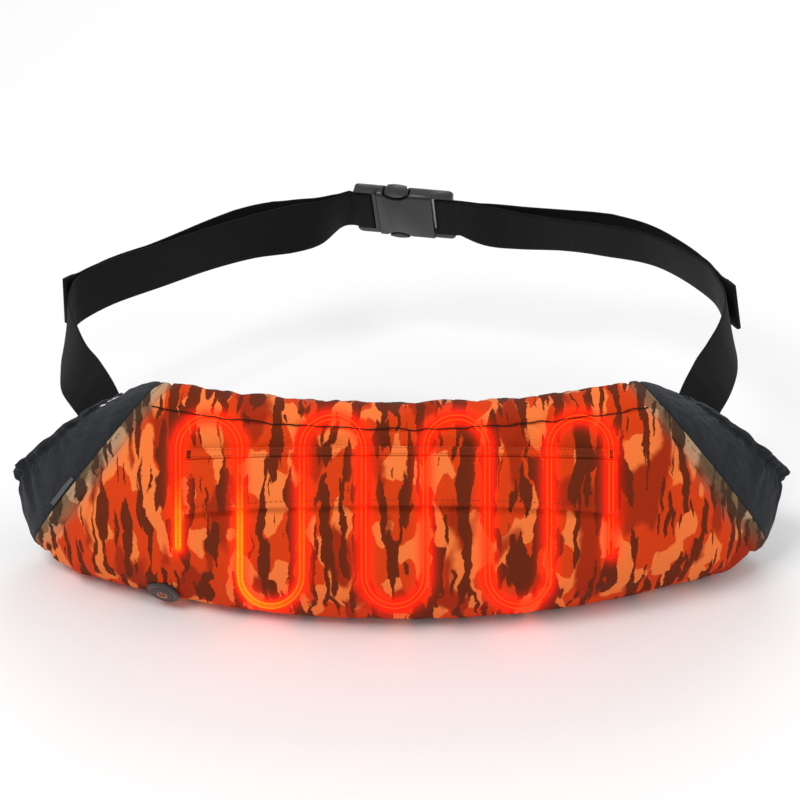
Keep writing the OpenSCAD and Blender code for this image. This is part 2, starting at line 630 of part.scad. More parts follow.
prong_pivot = [-17.8, 13.4];
module prong() {
    arm = 1.9;
    tip = [9, 16];
    rotate([90, 0, 0]) {
        translate([0, 0, -3.1]) linear_extrude(6.2) {
            translate(prong_pivot) circle(r = 2.2);
            translate(tip) circle(r = arm);
            polygon([prong_pivot + [0, -2.2], tip + [0, -arm], tip + [0, arm], prong_pivot + [0, 2.2]]);
            intersection() {
                translate([scoop_x, 5]) circle(r = 20.4);
                translate([-14, 14]) square([18.4, 14]);
            }
        }
        translate([0, 0, -4.9]) linear_extrude(9.8) intersection() {
            translate([scoop_x, 5]) circle(r = 20.4);
            translate([scoop_x, scoop_z]) circle(r = scoop_r - 2.4);
        }
    }
}
module upper_prong() color(BLACK) on_buckle() prong();
module lower_prong() color(BLACK) on_buckle() mirror([0, 0, 1]) prong();

// ---------- which node is drawn ----------
front_panel();
top_panel();
back_panel();
end_band(LEFT);  // left_end_band
end_band(RIGHT);  // right_end_band
front_insulation();
back_insulation();
hand_lining(-33, 33, 6, end = -0.47);  // hand_lining_front_left_end
hand_lining(-33, 33, 6, -0.47, 0);  // hand_lining_front_left
hand_lining(-33, 33, 6, 0, 0.47);  // hand_lining_front_right
hand_lining(-33, 33, 6, 0.47);  // hand_lining_front_right_end
hand_lining(33, 66, 3);  // hand_lining_front_upper
hand_lining(66, 114, 6);  // hand_lining_top
hand_lining(114, 147, 3);  // hand_lining_back_upper
hand_lining(147, 213, 6);  // hand_lining_back
hand_lining(213, 246, 3);  // hand_lining_back_lower
hand_lining(246, 294, 6);  // hand_lining_bottom
hand_lining(294, 327, 3, end = 0);  // hand_lining_front_lower_left
hand_lining(294, 327, 3, 0);  // hand_lining_front_lower_right
cuff_shell(LEFT);  // left_cuff_shell
cuff_lining(LEFT);  // left_cuff_lining
cuff_elastic(LEFT);  // left_cuff_elastic
cuff_shell(RIGHT);  // right_cuff_shell
cuff_lining(RIGHT);  // right_cuff_lining
cuff_elastic(RIGHT);  // right_cuff_elastic
cuff_label();
flap_welt();
pocket_flap();
pocket_bag();
zip_tape(1);  // zip_tape_upper
zip_tape(-1);  // zip_tape_lower
zip_teeth();
zip_stops();
zip_slider();
zip_pull();
heater_carrier();
heater_wire();
left_heater_tail();
right_heater_tail();
wiring_lead();
lead_grommet();
battery_case_front();
battery_case_back();
battery_cells();
battery_board();
battery_plug();
button_base();
button_bezel();
button_cap();
button_light_ring();
button_board();
button_switch();
color(BLACK) strap(left_stations);  // left_strap
color(BLACK) strap(right_stations);  // right_strap
strap_anchor(left_stations);  // left_strap_anchor
strap_anchor(right_stations);  // right_strap_anchor
buckle_socket();
buckle_clip();
upper_prong();
lower_prong();
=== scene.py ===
"""Heated hand muff on a waist belt: looks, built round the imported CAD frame. Metres, +Z up."""

import json
import math

import bpy
import bmesh
import numpy as np
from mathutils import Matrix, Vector
from mathutils.bvhtree import BVHTree


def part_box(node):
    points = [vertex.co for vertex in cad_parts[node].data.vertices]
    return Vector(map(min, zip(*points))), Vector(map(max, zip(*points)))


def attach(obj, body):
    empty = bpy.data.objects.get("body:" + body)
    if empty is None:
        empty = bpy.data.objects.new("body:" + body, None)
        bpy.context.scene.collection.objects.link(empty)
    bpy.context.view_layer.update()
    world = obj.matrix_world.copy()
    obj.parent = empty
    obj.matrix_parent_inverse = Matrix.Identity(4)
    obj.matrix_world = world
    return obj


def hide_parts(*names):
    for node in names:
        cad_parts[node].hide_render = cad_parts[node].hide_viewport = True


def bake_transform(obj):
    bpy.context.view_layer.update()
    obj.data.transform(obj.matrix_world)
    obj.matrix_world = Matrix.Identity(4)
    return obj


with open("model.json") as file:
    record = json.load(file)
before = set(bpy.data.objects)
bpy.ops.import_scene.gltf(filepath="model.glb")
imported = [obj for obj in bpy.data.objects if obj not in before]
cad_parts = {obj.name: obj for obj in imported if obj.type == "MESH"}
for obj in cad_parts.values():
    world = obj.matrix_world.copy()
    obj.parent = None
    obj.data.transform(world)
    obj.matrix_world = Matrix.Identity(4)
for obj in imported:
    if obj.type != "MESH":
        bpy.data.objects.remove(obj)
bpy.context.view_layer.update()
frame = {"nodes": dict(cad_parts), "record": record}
MM = 0.001

# ---------------------------------------------------------------- camera
VIEW_ELEVATION = math.radians(28.5)
VIEW_DISTANCE = 1.6
VIEW_TARGET = Vector((0, -0.020, -0.045))
view_back = Vector((0, -math.cos(VIEW_ELEVATION), math.sin(VIEW_ELEVATION)))
camera = bpy.data.objects.new("camera", bpy.data.cameras.new("camera"))
bpy.context.scene.collection.objects.link(camera)
camera.location = VIEW_TARGET + view_back * VIEW_DISTANCE
camera.rotation_euler = (-view_back).to_track_quat("-Z", "Y").to_euler()
camera.data.sensor_width = 36
camera.data.lens = 103
camera.data.shift_y = -0.021
bpy.context.scene.camera = camera
bpy.context.scene.view_settings.view_transform = "Standard"

# ---------------------------------------------------------------- the tube's surface, as in the CAD (mm)
CURVE_R, CURVE_Y = 420.0, 225.0
TOP_Z, BOTTOM_Z, HALF_THICK = 33.0, -120.0, 34.0
TOP_ANGLE, BOTTOM_ANGLE = 21.4, 34.5
POWER, STRAIGHT_T = 0.85, 0.85
END_TAPER, TOP_LIFT, BOTTOM_LIFT = 3.0, -1.0, 11.0
MID_ANGLE = (TOP_ANGLE + BOTTOM_ANGLE) / 2
FAN_ANGLE = (BOTTOM_ANGLE - TOP_ANGLE) / 2
PANEL_END = 0.95
TOP_SEAM, BACK_SEAM, BOTTOM_SEAM = 65.0, 120.0, -86.0
OPENING_MID = np.array([218.0, -121.0, -28.5])
OPENING_UP = np.array([-33.5, -12.0, 35.0])
OPENING_OUT = np.array([14.0, -17.5, 4.0])
FLAP_ANGLE, FLAP_LOW, WELT_LOW, WELT_HIGH = 17.2, 17.0, 43.5, 50.0
BUTTON_THETA, BUTTON_AT, BUTTON_HOLE_R = -20.1, -50.0, 8.9


def smooth(u):
    v = np.clip(u, 0, 1)
    return v * v * (3 - 2 * v)


def sin(a):
    return np.sin(np.radians(a))


def cos(a):
    return np.cos(np.radians(a))


def power(v):
    return np.sign(v) * np.abs(v) ** POWER


def section(a, d=0.0, t=0.0):
    """Radius and height of the section at angle a, d below the surface."""
    share = smooth((np.abs(t) - STRAIGHT_T) / (1 - STRAIGHT_T))
    high = TOP_Z + TOP_LIFT * share
    low = BOTTOM_Z + BOTTOM_LIFT * share
    thick = HALF_THICK - END_TAPER * share
    return (CURVE_R + (thick - d) * power(cos(a)),
            (high + low) / 2 + ((high - low) / 2 - d) * power(sin(a)))


def turned(r, z, theta):
    return np.stack(np.broadcast_arrays(r * sin(theta), CURVE_Y - r * cos(theta), z), -1)


def body_point(t, a, d=0.0):
    r, z = section(a, d, t)
    return turned(r, z, t * (MID_ANGLE - FAN_ANGLE * power(sin(a))))


def cuff_point(side, w, a, d=0.0, swell=3.0):
    w, a, d = np.broadcast_arrays(np.asarray(w, float), np.asarray(a, float), np.asarray(d, float))
    start = body_point(side * np.ones_like(a), a, d - swell * np.sin(np.pi * w))
    up = power(sin(a)) * (1 - d / np.linalg.norm(OPENING_UP))
    out = power(cos(a)) * (1 - d / np.linalg.norm(OPENING_OUT))
    end = OPENING_MID + up[..., None] * OPENING_UP + out[..., None] * OPENING_OUT
    end = end * np.array([side, 1, 1])
    return start + (end - start) * w[..., None]


# Length along the section from the front's middle, so that cloth keeps its scale round the tube
_angles = np.linspace(-180, 360, 1081)
_sections = np.stack(section(_angles), -1)
_run = np.concatenate([[0], np.cumsum(np.linalg.norm(np.diff(_sections, axis=0), axis=1))])
_run -= np.interp(0, _angles, _run)


def section_run(a):
    return np.interp(a, _angles, _run)


# ---------------------------------------------------------------- small helpers
def new_object(name, verts, faces, shade_smooth=True):
    mesh = bpy.data.meshes.new(name)
    mesh.from_pydata([tuple(v) for v in verts], [], faces)
    mesh.update()
    if shade_smooth:
        mesh.shade_smooth()
    o = bpy.data.objects.new(name, mesh)
    bpy.context.scene.collection.objects.link(o)
    return o


def grid_faces(rows, cols, closed=False):
    last = cols if closed else cols - 1
    return [(i * cols + j, (i + 1) * cols + j, (i + 1) * cols + (j + 1) % cols, i * cols + (j + 1) % cols)
            for i in range(rows - 1) for j in range(last)]


def apply_modifiers(o):
    bpy.context.view_layer.update()
    graph = bpy.context.evaluated_depsgraph_get()
    mesh = bpy.data.meshes.new_from_object(o.evaluated_get(graph))
    o.modifiers.clear()
    o.data = mesh
    return o


def thicken(o, mm, outward=0.0):
    m = o.modifiers.new("thickness", "SOLIDIFY")
    m.thickness = mm * MM
    m.offset = -1 + outward
    m.use_even_offset = False
    return apply_modifiers(o)


def attribute(o, name, values, kind="FLOAT"):
    a = o.data.attributes.new(name, kind, "POINT")
    a.data.foreach_set("vector" if kind == "FLOAT_VECTOR" else "value", np.asarray(values, np.float32).ravel())


def coordinates(o):
    co = np.empty(len(o.data.vertices) * 3)
    o.data.vertices.foreach_get("co", co)
    return co.reshape(-1, 3)


def set_coordinates(o, co):
    o.data.vertices.foreach_set("co", np.asarray(co, float).ravel())
    o.data.update()


def normals(o):
    n = np.empty(len(o.data.vertices) * 3)
    o.data.vertices.foreach_get("normal", n)
    return n.reshape(-1, 3)


def lumps(p, size, seed):
    """Smooth noise in -1..1 from a few sine waves, for points p in mm and lumps of that size."""
    g = np.random.default_rng(seed)
    total = np.zeros(len(p))
    for _ in range(9):
        k = g.normal(size=3)
        k *= 2 * np.pi / size / np.linalg.norm(k) * g.uniform(0.6, 1.5)
        total += np.sin(p @ k + g.uniform(0, 6.28))
    return total / 4.2


def catmull(stations, steps):
    s = np.asarray(stations, float)
    m = len(s) - 1
    u = np.arange(steps)[:, None] / steps
    out = []
    for i in range(m):
        p0, p1, p2, p3 = s[max(i - 1, 0)], s[i], s[i + 1], s[min(i + 2, m)]
        out.append(0.5 * (2 * p1 + (p2 - p0) * u + (2 * p0 - 5 * p1 + 4 * p2 - p3) * u ** 2
                          + (3 * p1 - p0 - 3 * p2 + p3) * u ** 3))
    return np.vstack(out + [s[m:]])


def resample(points, pitch):
    p = np.asarray(points, float)
    run = np.concatenate([[0], np.cumsum(np.linalg.norm(np.diff(p, axis=0), axis=1))])
    n = max(2, int(run[-1] / pitch) + 1)
    at = np.linspace(0, run[-1], n)
    return np.stack([np.interp(at, run, p[:, k]) for k in range(3)], -1)


def tube_mesh(name, paths, radius, sides=8):
    """Round tubes along lists of points, in metres."""
    verts, faces = [], []
    for path in paths:
        p = np.asarray(path, float)
        way = np.gradient(p, axis=0)
        way /= np.linalg.norm(way, axis=1)[:, None]
        side = np.cross(way, [0.13, 1, 0.21])
        side /= np.linalg.norm(side, axis=1)[:, None]
        up = np.cross(way, side)
        base = len(verts)
        for i in range(len(p)):
            r = radius * (0.6 if i in (0, len(p) - 1) else 1)
            for k in range(sides):
                c = 2 * math.pi * k / sides
                verts.append(p[i] + r * (math.cos(c) * side[i] + math.sin(c) * up[i]))
        faces += [tuple(base + v for v in f[::-1]) for f in grid_faces(len(p), sides, True)]
        faces.append(tuple(base + sides - 1 - k for k in range(sides)))
        end = base + (len(p) - 1) * sides
        faces.append(tuple(end + k for k in range(sides)))
    return new_object(name, verts, faces)


# ---------------------------------------------------------------- materials
def shader(name, color=(0.5, 0.5, 0.5), roughness=0.7, **sockets):
    m = bpy.data.materials.new(name)
    m.use_nodes = True
    b = m.node_tree.nodes["Principled BSDF"]
    b.inputs["Base Color"].default_value = (*color, 1)
    b.inputs["Roughness"].default_value = roughness
    for key, value in sockets.items():
        b.inputs[key.replace("_", " ")].default_value = value
    return m


def node(m, kind, **values):
    n = m.node_tree.nodes.new(kind)
    for key, value in values.items():
        if hasattr(n, key):
            setattr(n, key, value)
        else:
            n.inputs[key].default_value = value
    return n


def link(m, a, b):
    m.node_tree.links.new(a, b)


def bsdf(m):
    return m.node_tree.nodes["Principled BSDF"]


def mix_color(m, factor, a, b, blend="MIX"):
    n = node(m, "ShaderNodeMix", data_type="RGBA", blend_type=blend)
    for value, socket in ((factor, n.inputs[0]), (a, n.inputs[6]), (b, n.inputs[7])):
        if isinstance(value, bpy.types.NodeSocket):
            link(m, value, socket)
        elif isinstance(value, tuple):
            socket.default_value = (*value, 1)
        else:
            socket.default_value = value
    return n.outputs[2]


def math_node(m, operation, a, b=0.0):
    n = node(m, "ShaderNodeMath", operation=operation)
    for value, socket in ((a, n.inputs[0]), (b, n.inputs[1])):
        if isinstance(value, bpy.types.NodeSocket):
            link(m, value, socket)
        else:
            socket.default_value = value
    return n.outputs[0]


def step(m, value, edge, width=0.012):
    n = node(m, "ShaderNodeMapRange", interpolation_type="SMOOTHSTEP")
    n.inputs["From Min"].default_value = edge - width
    n.inputs["From Max"].default_value = edge + width
    link(m, value, n.inputs["Value"])
    return n.outputs["Result"]


def noise(m, vector, scale, stretch=(1, 1, 1), offset=(0, 0, 0), detail=2.0, rough=0.5):
    mapping = node(m, "ShaderNodeMapping")
    mapping.inputs["Scale"].default_value = stretch
    mapping.inputs["Location"].default_value = offset
    link(m, vector, mapping.inputs["Vector"])
    n = node(m, "ShaderNodeTexNoise", Scale=scale, Detail=detail, Roughness=rough)
    link(m, mapping.outputs["Vector"], n.inputs["Vector"])
    return n


def bump(m, height, strength, distance):
    n = node(m, "ShaderNodeBump", Strength=strength, Distance=distance)
    link(m, height, n.inputs["Height"])
    return n


def object_vector(m):
    return node(m, "ShaderNodeTexCoord").outputs["Object"]


def camo_material():
    """Bark-like camouflage in cloth coordinates, with the heater's glow painted in: an orange-red tint and a faint
    glow over the front, a red halo and a brighter core along the cable.
    """
    m = shader("camo_cloth", roughness=0.85, Specular_IOR_Level=0.12)
    cloth = node(m, "ShaderNodeAttribute", attribute_name="cloth").outputs["Vector"]
    painted_glow_tint = node(m, "ShaderNodeAttribute", attribute_name="painted_glow_tint").outputs["Fac"]
    glow = node(m, "ShaderNodeAttribute", attribute_name="glow").outputs["Fac"]
    glow_core = node(m, "ShaderNodeAttribute", attribute_name="glow_core").outputs["Fac"]
    wobble = noise(m, cloth, 90, (1, 0.6, 1), detail=3).outputs["Color"]
    shift = node(m, "ShaderNodeVectorMath", operation="MULTIPLY_ADD")
    link(m, wobble, shift.inputs[0])
    shift.inputs[1].default_value = (0.010, 0.013, 0)
    link(m, cloth, shift.inputs[2])
    ragged = noise(m, cloth, 640, (1, 0.8, 1), detail=2).outputs["Color"]
    torn = node(m, "ShaderNodeVectorMath", operation="MULTIPLY_ADD")
    link(m, ragged, torn.inputs[0])
    torn.inputs[1].default_value = (0.0015, 0.002, 0)
    link(m, shift.outputs[0], torn.inputs[2])
    at = torn.outputs[0]
    light = step(m, noise(m, at, 44, (1.15, 0.55, 1), (0.3, 0.1, 0), 1.0).outputs["Fac"], 0.53, 0.008)
    shade = step(m, noise(m, at, 38, (1.2, 0.4, 1), (2.1, 4.4, 0), 1.0).outputs["Fac"], 0.57, 0.03)
    bark = step(m, noise(m, at, 84, (1.25, 0.2, 1), (5.7, 1.9, 0), 1.5, 0.45).outputs["Fac"], 0.55, 0.008)
    twig = step(m, noise(m, at, 165, (1.1, 0.16, 1), (1.7, 7.9, 0), 1.0).outputs["Fac"], 0.61, 0.012)
    dark = math_node(m, "MAXIMUM", bark, twig)

    def palette(mid, pale, deep, black):
        c = mix_color(m, light, mid, pale)
        c = mix_color(m, shade, c, deep)
        return mix_color(m, dark, c, black)

    # cool is the cloth's own bark colours; hot is the same pattern in the orange-red of the painted heater glow
    cool = palette((0.20, 0.125, 0.065), (0.42, 0.27, 0.16), (0.12, 0.085, 0.045), (0.06, 0.034, 0.02))
    hot = palette((0.58, 0.040, 0.003), (0.78, 0.165, 0.035), (0.32, 0.020, 0.002), (0.12, 0.016, 0.003))
    fade = noise(m, cloth, 14, detail=2).outputs["Fac"]
    glow_tinted = mix_color(m, painted_glow_tint, cool, hot)
    fibre = noise(m, cloth, 900, (1, 1, 1), detail=1).outputs["Fac"]
    tone = mix_color(m, 0.22, glow_tinted, mix_color(m, fibre, (0.35, 0.35, 0.35), (0.7, 0.7, 0.7)), "OVERLAY")
    tone = mix_color(m, 0.25, tone, mix_color(m, fade, (0.3, 0.3, 0.3), (0.75, 0.75, 0.75)), "OVERLAY")
    halo = mix_color(m, glow, tone, (0.92, 0.010, 0.002))
    link(m, halo, bsdf(m).inputs["Base Color"])
    lit = mix_color(m, glow, (0.0, 0.0, 0.0), (0.62, 0.004, 0.0))
    lit = mix_color(m, glow_core, lit, (1.0, 0.30, 0.0))
    # painted glow: the glow-tinted cloth also gives off a little light in its own colour
    painted_glow_emission = mix_color(m, 0.12, lit, mix_color(m, painted_glow_tint, (0.0, 0.0, 0.0), tone), "ADD")
    link(m, painted_glow_emission, bsdf(m).inputs["Emission Color"])
    bsdf(m).inputs["Emission Strength"].default_value = 1.0
    weave = noise(m, cloth, 1500, (1, 0.7, 1), detail=1).outputs["Fac"]
    b = bump(m, weave, 0.35, 0.0003)
    link(m, b.outputs["Normal"], bsdf(m).inputs["Normal"])
    return m


def plush_material(name, color=(0.0035, 0.0048, 0.0068), pile=0.0012):
    m = shader(name, color, 0.92, Sheen_Weight=0.13, Sheen_Roughness=0.4, Sheen_Tint=(0.36, 0.42, 0.52, 1))
    where = object_vector(m)
    fine = noise(m, where, 620, detail=4, rough=0.65).outputs["Fac"]
    nap = noise(m, where, 90, detail=3).outputs["Fac"]
    tone = mix_color(m, nap, tuple(0.6 * c for c in color), tuple(1.9 * c for c in color))
    link(m, tone, bsdf(m).inputs["Base Color"])
    both = math_node(m, "ADD", fine, math_node(m, "MULTIPLY", nap, 0.9))
    link(m, bump(m, both, 0.75, pile).outputs["Normal"], bsdf(m).inputs["Normal"])
    return m


def webbing_material():
    m = shader("webbing", (0.003, 0.003, 0.003), 0.75, Sheen_Weight=0.02, Specular_IOR_Level=0.15)
    cloth = node(m, "ShaderNodeAttribute", attribute_name="cloth").outputs["Vector"]
    ribs = node(m, "ShaderNodeTexWave", wave_type="BANDS", bands_direction="Y", Scale=210.0, Distortion=0.4)
    link(m, cloth, ribs.inputs["Vector"])
    picks = node(m, "ShaderNodeTexWave", wave_type="BANDS", bands_direction="X", Scale=330.0, Distortion=0.3)
    link(m, cloth, picks.inputs["Vector"])
    height = math_node(m, "ADD", ribs.outputs["Fac"], math_node(m, "MULTIPLY", picks.outputs["Fac"], 0.6))
    link(m, bump(m, height, 0.5, 0.00035).outputs["Normal"], bsdf(m).inputs["Normal"])
    wear = noise(m, cloth, 60, detail=3).outputs["Fac"]
    link(m, mix_color(m, wear, (0.0025, 0.0024, 0.0025), (0.005, 0.0048, 0.005)), bsdf(m).inputs["Base Color"])
    return m


def plastic_material(name, color, roughness=0.42, grain=900.0, strength=0.12):
    m = shader(name, color, roughness, Coat_Weight=0.05)
    where = object_vector(m)
    fine = noise(m, where, grain, detail=2).outputs["Fac"]
    link(m, bump(m, fine, strength, 0.0001).outputs["Normal"], bsdf(m).inputs["Normal"])
    broad = noise(m, where, 70, detail=3).outputs["Fac"]
    link(m, mix_color(m, broad, tuple(0.8 * c for c in color), tuple(min(1, 1.25 * c) for c in color)),
         bsdf(m).inputs["Base Color"])
    rough = node(m, "ShaderNodeMapRange")
    rough.inputs["To Min"].default_value = roughness - 0.06
    rough.inputs["To Max"].default_value = roughness + 0.08
    link(m, broad, rough.inputs["Value"])
    link(m, rough.outputs["Result"], bsdf(m).inputs["Roughness"])
    return m


def cloth_material(name, color, scale=700.0, roughness=0.85):
    m = shader(name, color, roughness, Specular_IOR_Level=0.2)
    where = object_vector(m)
    weave = noise(m, where, scale, detail=2).outputs["Fac"]
    link(m, bump(m, weave, 0.5, 0.0003).outputs["Normal"], bsdf(m).inputs["Normal"])
    link(m, mix_color(m, weave, tuple(0.7 * c for c in color), tuple(min(1, 1.3 * c) for c in color)),
         bsdf(m).inputs["Base Color"])
    return m


def lit_material(name, color, strength, base=(0.9, 0.3, 0.05)):
    m = shader(name, base, 0.4)
    flicker = noise(m, object_vector(m), 12, detail=2).outputs["Fac"]
    tint = mix_color(m, flicker, tuple(0.8 * c for c in color), color)
    link(m, tint, bsdf(m).inputs["Emission Color"])
    bsdf(m).inputs["Emission Strength"].default_value = strength
    return m


def line_material():
    """The cable's two lit strands: orange, and yellower where the cable runs hottest."""
    m = shader("glow_line", (0.25, 0.015, 0.0), 0.8, Specular_IOR_Level=0.1)
    hot = node(m, "ShaderNodeAttribute", attribute_name="hot").outputs["Fac"]
    tint = mix_color(m, hot, (1.0, 0.075, 0.006), (1.0, 0.55, 0.006))
    link(m, tint, bsdf(m).inputs["Emission Color"])
    bsdf(m).inputs["Emission Strength"].default_value = 0.95
    return m


MATERIALS = {
    "camo_cloth": camo_material(),
    "plush": plush_material("plush"),
    "fleece": plush_material("fleece", (0.005, 0.006, 0.008), 0.0006),
    "webbing": webbing_material(),
    "wadding": cloth_material("wadding", (0.8, 0.78, 0.74), 300),
    "elastic": cloth_material("elastic", (0.7, 0.7, 0.68), 1200),
    "label_tape": cloth_material("label_tape", (0.09, 0.09, 0.095), 1500),
    "pocketing": cloth_material("pocketing", (0.03, 0.03, 0.033), 900),
    "zip_tape": cloth_material("zip_tape", (0.012, 0.012, 0.013), 1300),
    "zip_metal": plastic_material("zip_metal", (0.03, 0.03, 0.033), 0.32),
    "carrier_cloth": cloth_material("carrier_cloth", (0.75, 0.5, 0.35), 500),
    "heating_cable": lit_material("heating_cable", (1.0, 0.12, 0.02), 1.5),
    "lead_sleeve": plastic_material("lead_sleeve", (0.12, 0.02, 0.015), 0.5),
    "grommet_rubber": plastic_material("grommet_rubber", (0.02, 0.02, 0.022), 0.7),
    "battery_plastic": plastic_material("battery_plastic", (0.02, 0.02, 0.022), 0.55),
    "cell_foil": plastic_material("cell_foil", (0.35, 0.42, 0.48), 0.3),
    "circuit_board": plastic_material("circuit_board", (0.02, 0.12, 0.04), 0.4),
    "plug_rubber": plastic_material("plug_rubber", (0.02, 0.021, 0.022), 0.65),
    "button_plastic": plastic_material("button_plastic", (0.03, 0.03, 0.032), 0.5),
    "bezel_plastic": plastic_material("bezel_plastic", (0.035, 0.026, 0.024), 0.42),
    "cap_plastic": plastic_material("cap_plastic", (0.028, 0.024, 0.023), 0.5),
    "light_guide": lit_material("light_guide", (0.5, 0.06, 0.01), 0.12, (0.10, 0.03, 0.02)),
    "switch_metal": plastic_material("switch_metal", (0.5, 0.5, 0.52), 0.25),
    "buckle_plastic": plastic_material("buckle_plastic", (0.018, 0.0175, 0.0185), 0.34, 1400, 0.15),
    "thread": cloth_material("thread", (0.22, 0.045, 0.02), 2500),
    "thread_dark": cloth_material("thread_dark", (0.03, 0.008, 0.004), 2500),
    "thread_black": cloth_material("thread_black", (0.02, 0.02, 0.022), 2500),
    "glow_line": line_material(),
    "icon_light": lit_material("icon_light", (1.0, 0.16, 0.02), 0.55, (0.3, 0.06, 0.01)),
}
SLOT_OF = {s["node"]: s["material_slot"] for s in frame["record"]["subparts"]}


def dress(o, material, body=None):
    o.data.materials.clear()
    o.data.materials.append(MATERIALS[material])
    if body:
        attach(o, body)
    return o


for name, o in frame["nodes"].items():
    for place in o.material_slots:
        place.material = MATERIALS[SLOT_OF[name]]

# ---------------------------------------------------------------- padded cover
def spread(marks, pitch):
    """Section angles through the marks, evenly spaced along the section's length."""
    out = []
    for lo, hi in zip(marks, marks[1:]):
        n = max(2, round((section_run(hi) - section_run(lo)) / pitch))
        out.append(np.interp(np.linspace(section_run(lo), section_run(hi), n, endpoint=False), _run, _angles))
    return np.concatenate(out)


ts = np.linspace(-1, 1, 161)
angles = spread([BOTTOM_SEAM, 21, 33, TOP_SEAM, BACK_SEAM, BOTTOM_SEAM + 360], 2.7)
T, A = np.meshgrid(ts, angles, indexing="ij")
rows, cols = T.shape
base = (body_point(T, A) * MM).reshape(-1, 3)
theta_of = (T * (MID_ANGLE - FAN_ANGLE * power(sin(A)))).ravel()
t_of, a_of = T.ravel(), A.ravel()
across = section_run(a_of)
cloth_co = np.stack([np.radians(theta_of) * (CURVE_R + HALF_THICK * cos(a_of)), across, 0 * across], -1) * MM


def seam_distance(*seams):
    gaps = [np.abs(across - section_run(s)) for s in seams]
    return np.min(gaps + [np.abs(across - section_run(BOTTOM_SEAM + 360))], axis=0)


along_mm = 222.0
end_seams = np.abs(np.abs(t_of) - PANEL_END) * along_mm
seams = np.minimum(seam_distance(BOTTOM_SEAM, TOP_SEAM, BACK_SEAM), end_seams)
droop = 12 * (theta_of / FLAP_ANGLE) ** 2
under_flap = ((np.abs(theta_of) < FLAP_ANGLE + 0.6) & (a_of > FLAP_LOW - droop - 3)
              & (a_of < WELT_HIGH - droop + 2))
in_slot = (np.abs(theta_of) < 15.4) & (a_of > 19) & (a_of < 35)
under_patch = (np.abs(t_of) > 0.62) & (a_of > 140) & (a_of < 240)
cover = new_object("cover", base, grid_faces(rows, cols, True))
pins = cover.vertex_groups.new(name="pins")
held = (seams < 0.7) | in_slot | (np.abs(t_of) > 0.995)
pins.add([int(i) for i in np.nonzero(held)[0]], 1.0, "REPLACE")
# ease the cloth off its pattern so that it wrinkles the same way each time
ease = 0.35 * MM * lumps(base * 1000, 30, 11)[:, None] * normals(cover)
set_coordinates(cover, base + np.where(held[:, None], 0, ease))
sim = cover.modifiers.new("cloth", "CLOTH")
s = sim.settings
s.quality, s.mass = 5, 0.25
s.vertex_group_mass = "pins"
s.tension_stiffness = s.compression_stiffness = 18
s.shear_stiffness, s.bending_stiffness = 6, 0.6
s.use_pressure, s.uniform_pressure_force = True, 5.0
s.shrink_min = -0.035
s.effector_weights.gravity = 0
sim.point_cache.frame_start, sim.point_cache.frame_end = 1, 22
for f in range(1, 23):
    bpy.context.scene.frame_set(f)
apply_modifiers(cover)
bpy.context.scene.frame_set(1)
moved = coordinates(cover) - base
cover_normals = normals(cover)
out = np.einsum("ij,ij->i", moved, cover_normals)
slide = moved - out[:, None] * cover_normals
slide *= np.minimum(1, 1.5 * MM / np.maximum(1e-9, np.linalg.norm(slide, axis=1)))[:, None]
limit = np.select([under_patch, under_flap], [0.2, 1.0], 4.2) * MM
out = limit * np.tanh(out / limit)
moved = np.maximum(out, -0.9 * MM)[:, None] * cover_normals + slide
set_coordinates(cover, base + moved)
surface = coordinates(cover)
n = normals(cover)
GROOVE_DEPTH, GROOVE_REACH = 1.25, 1.7  # mm, how a seam sinks into the padding
PUCKER_HEIGHT, PUCKER_REACH = 0.35, 9  # mm, the small folds that the stitching draws up beside it
groove = GROOVE_DEPTH * np.exp(-(seams / GROOVE_REACH) ** 2)
pucker = PUCKER_HEIGHT * np.exp(-(seams / PUCKER_REACH) ** 2) * np.sin(t_of * along_mm / 3.1 + across / 4)
soft = 0.35 * lumps(base * 1000, 38, 5)
damp = np.select([under_patch, under_flap], [0.1, 0.3], 1.0)
surface = surface + ((damp * (pucker + soft) - groove) * MM)[:, None] * n
set_coordinates(cover, surface)
cover_tree = BVHTree.FromPolygons([tuple(v) for v in surface],
                                  [tuple(p.vertices) for p in cover.data.polygons])
# painted heater glow: how strongly the cloth is tinted orange-red, fading towards the ends and the back; the back
# panel gets none
glow_tint_fades_from = 0.985 + 0.03 * smooth((-10 - a_of) / 40)
painted_glow_tint_of = smooth((glow_tint_fades_from - np.abs(t_of)) / 0.08) * smooth((122 - a_of) / 30)


def cover_part(name, node_name, keep):
    """The cover's faces whose middles pass the test, as a piece of their own."""
    mesh_faces = grid_faces(rows, cols, True)
    mid_t = np.array([t_of[list(f)].mean() for f in mesh_faces])
    steps_a = np.array([a_of[list(f)] for f in mesh_faces])
    wrap = steps_a.max(1) - steps_a.min(1) > 180
    steps_a[wrap] = np.where(steps_a[wrap] < 0, steps_a[wrap] + 360, steps_a[wrap])
    mid_a = steps_a.mean(1)
    mid_theta = mid_t * (MID_ANGLE - FAN_ANGLE * power(sin(mid_a)))
    chosen = [f for f, ok in zip(mesh_faces, keep(mid_t, mid_a, mid_theta)) if ok]
    used = sorted({i for f in chosen for i in f})
    where = {old: i for i, old in enumerate(used)}
    o = new_object(name, surface[used], [tuple(where[i] for i in f) for f in chosen])
    coordinates_here = cloth_co[used].copy()
    if node_name == "back_panel":
        low = a_of[used] < 0
        coordinates_here[low, 1] += (section_run(BOTTOM_SEAM + 360) - section_run(BOTTOM_SEAM)) * MM
    attribute(o, "cloth", coordinates_here, "FLOAT_VECTOR")
    attribute(o, "painted_glow_tint", painted_glow_tint_of[used] if node_name != "back_panel" else 0 * painted_glow_tint_of[used])
    return o


inner_t = PANEL_END


def at_button(t, a, radius):
    """True where the cover is cut away under the power button's bezel."""
    middle = turned(*section(BUTTON_AT), BUTTON_THETA)
    return np.linalg.norm(body_point(t, a) - middle, axis=-1) < radius


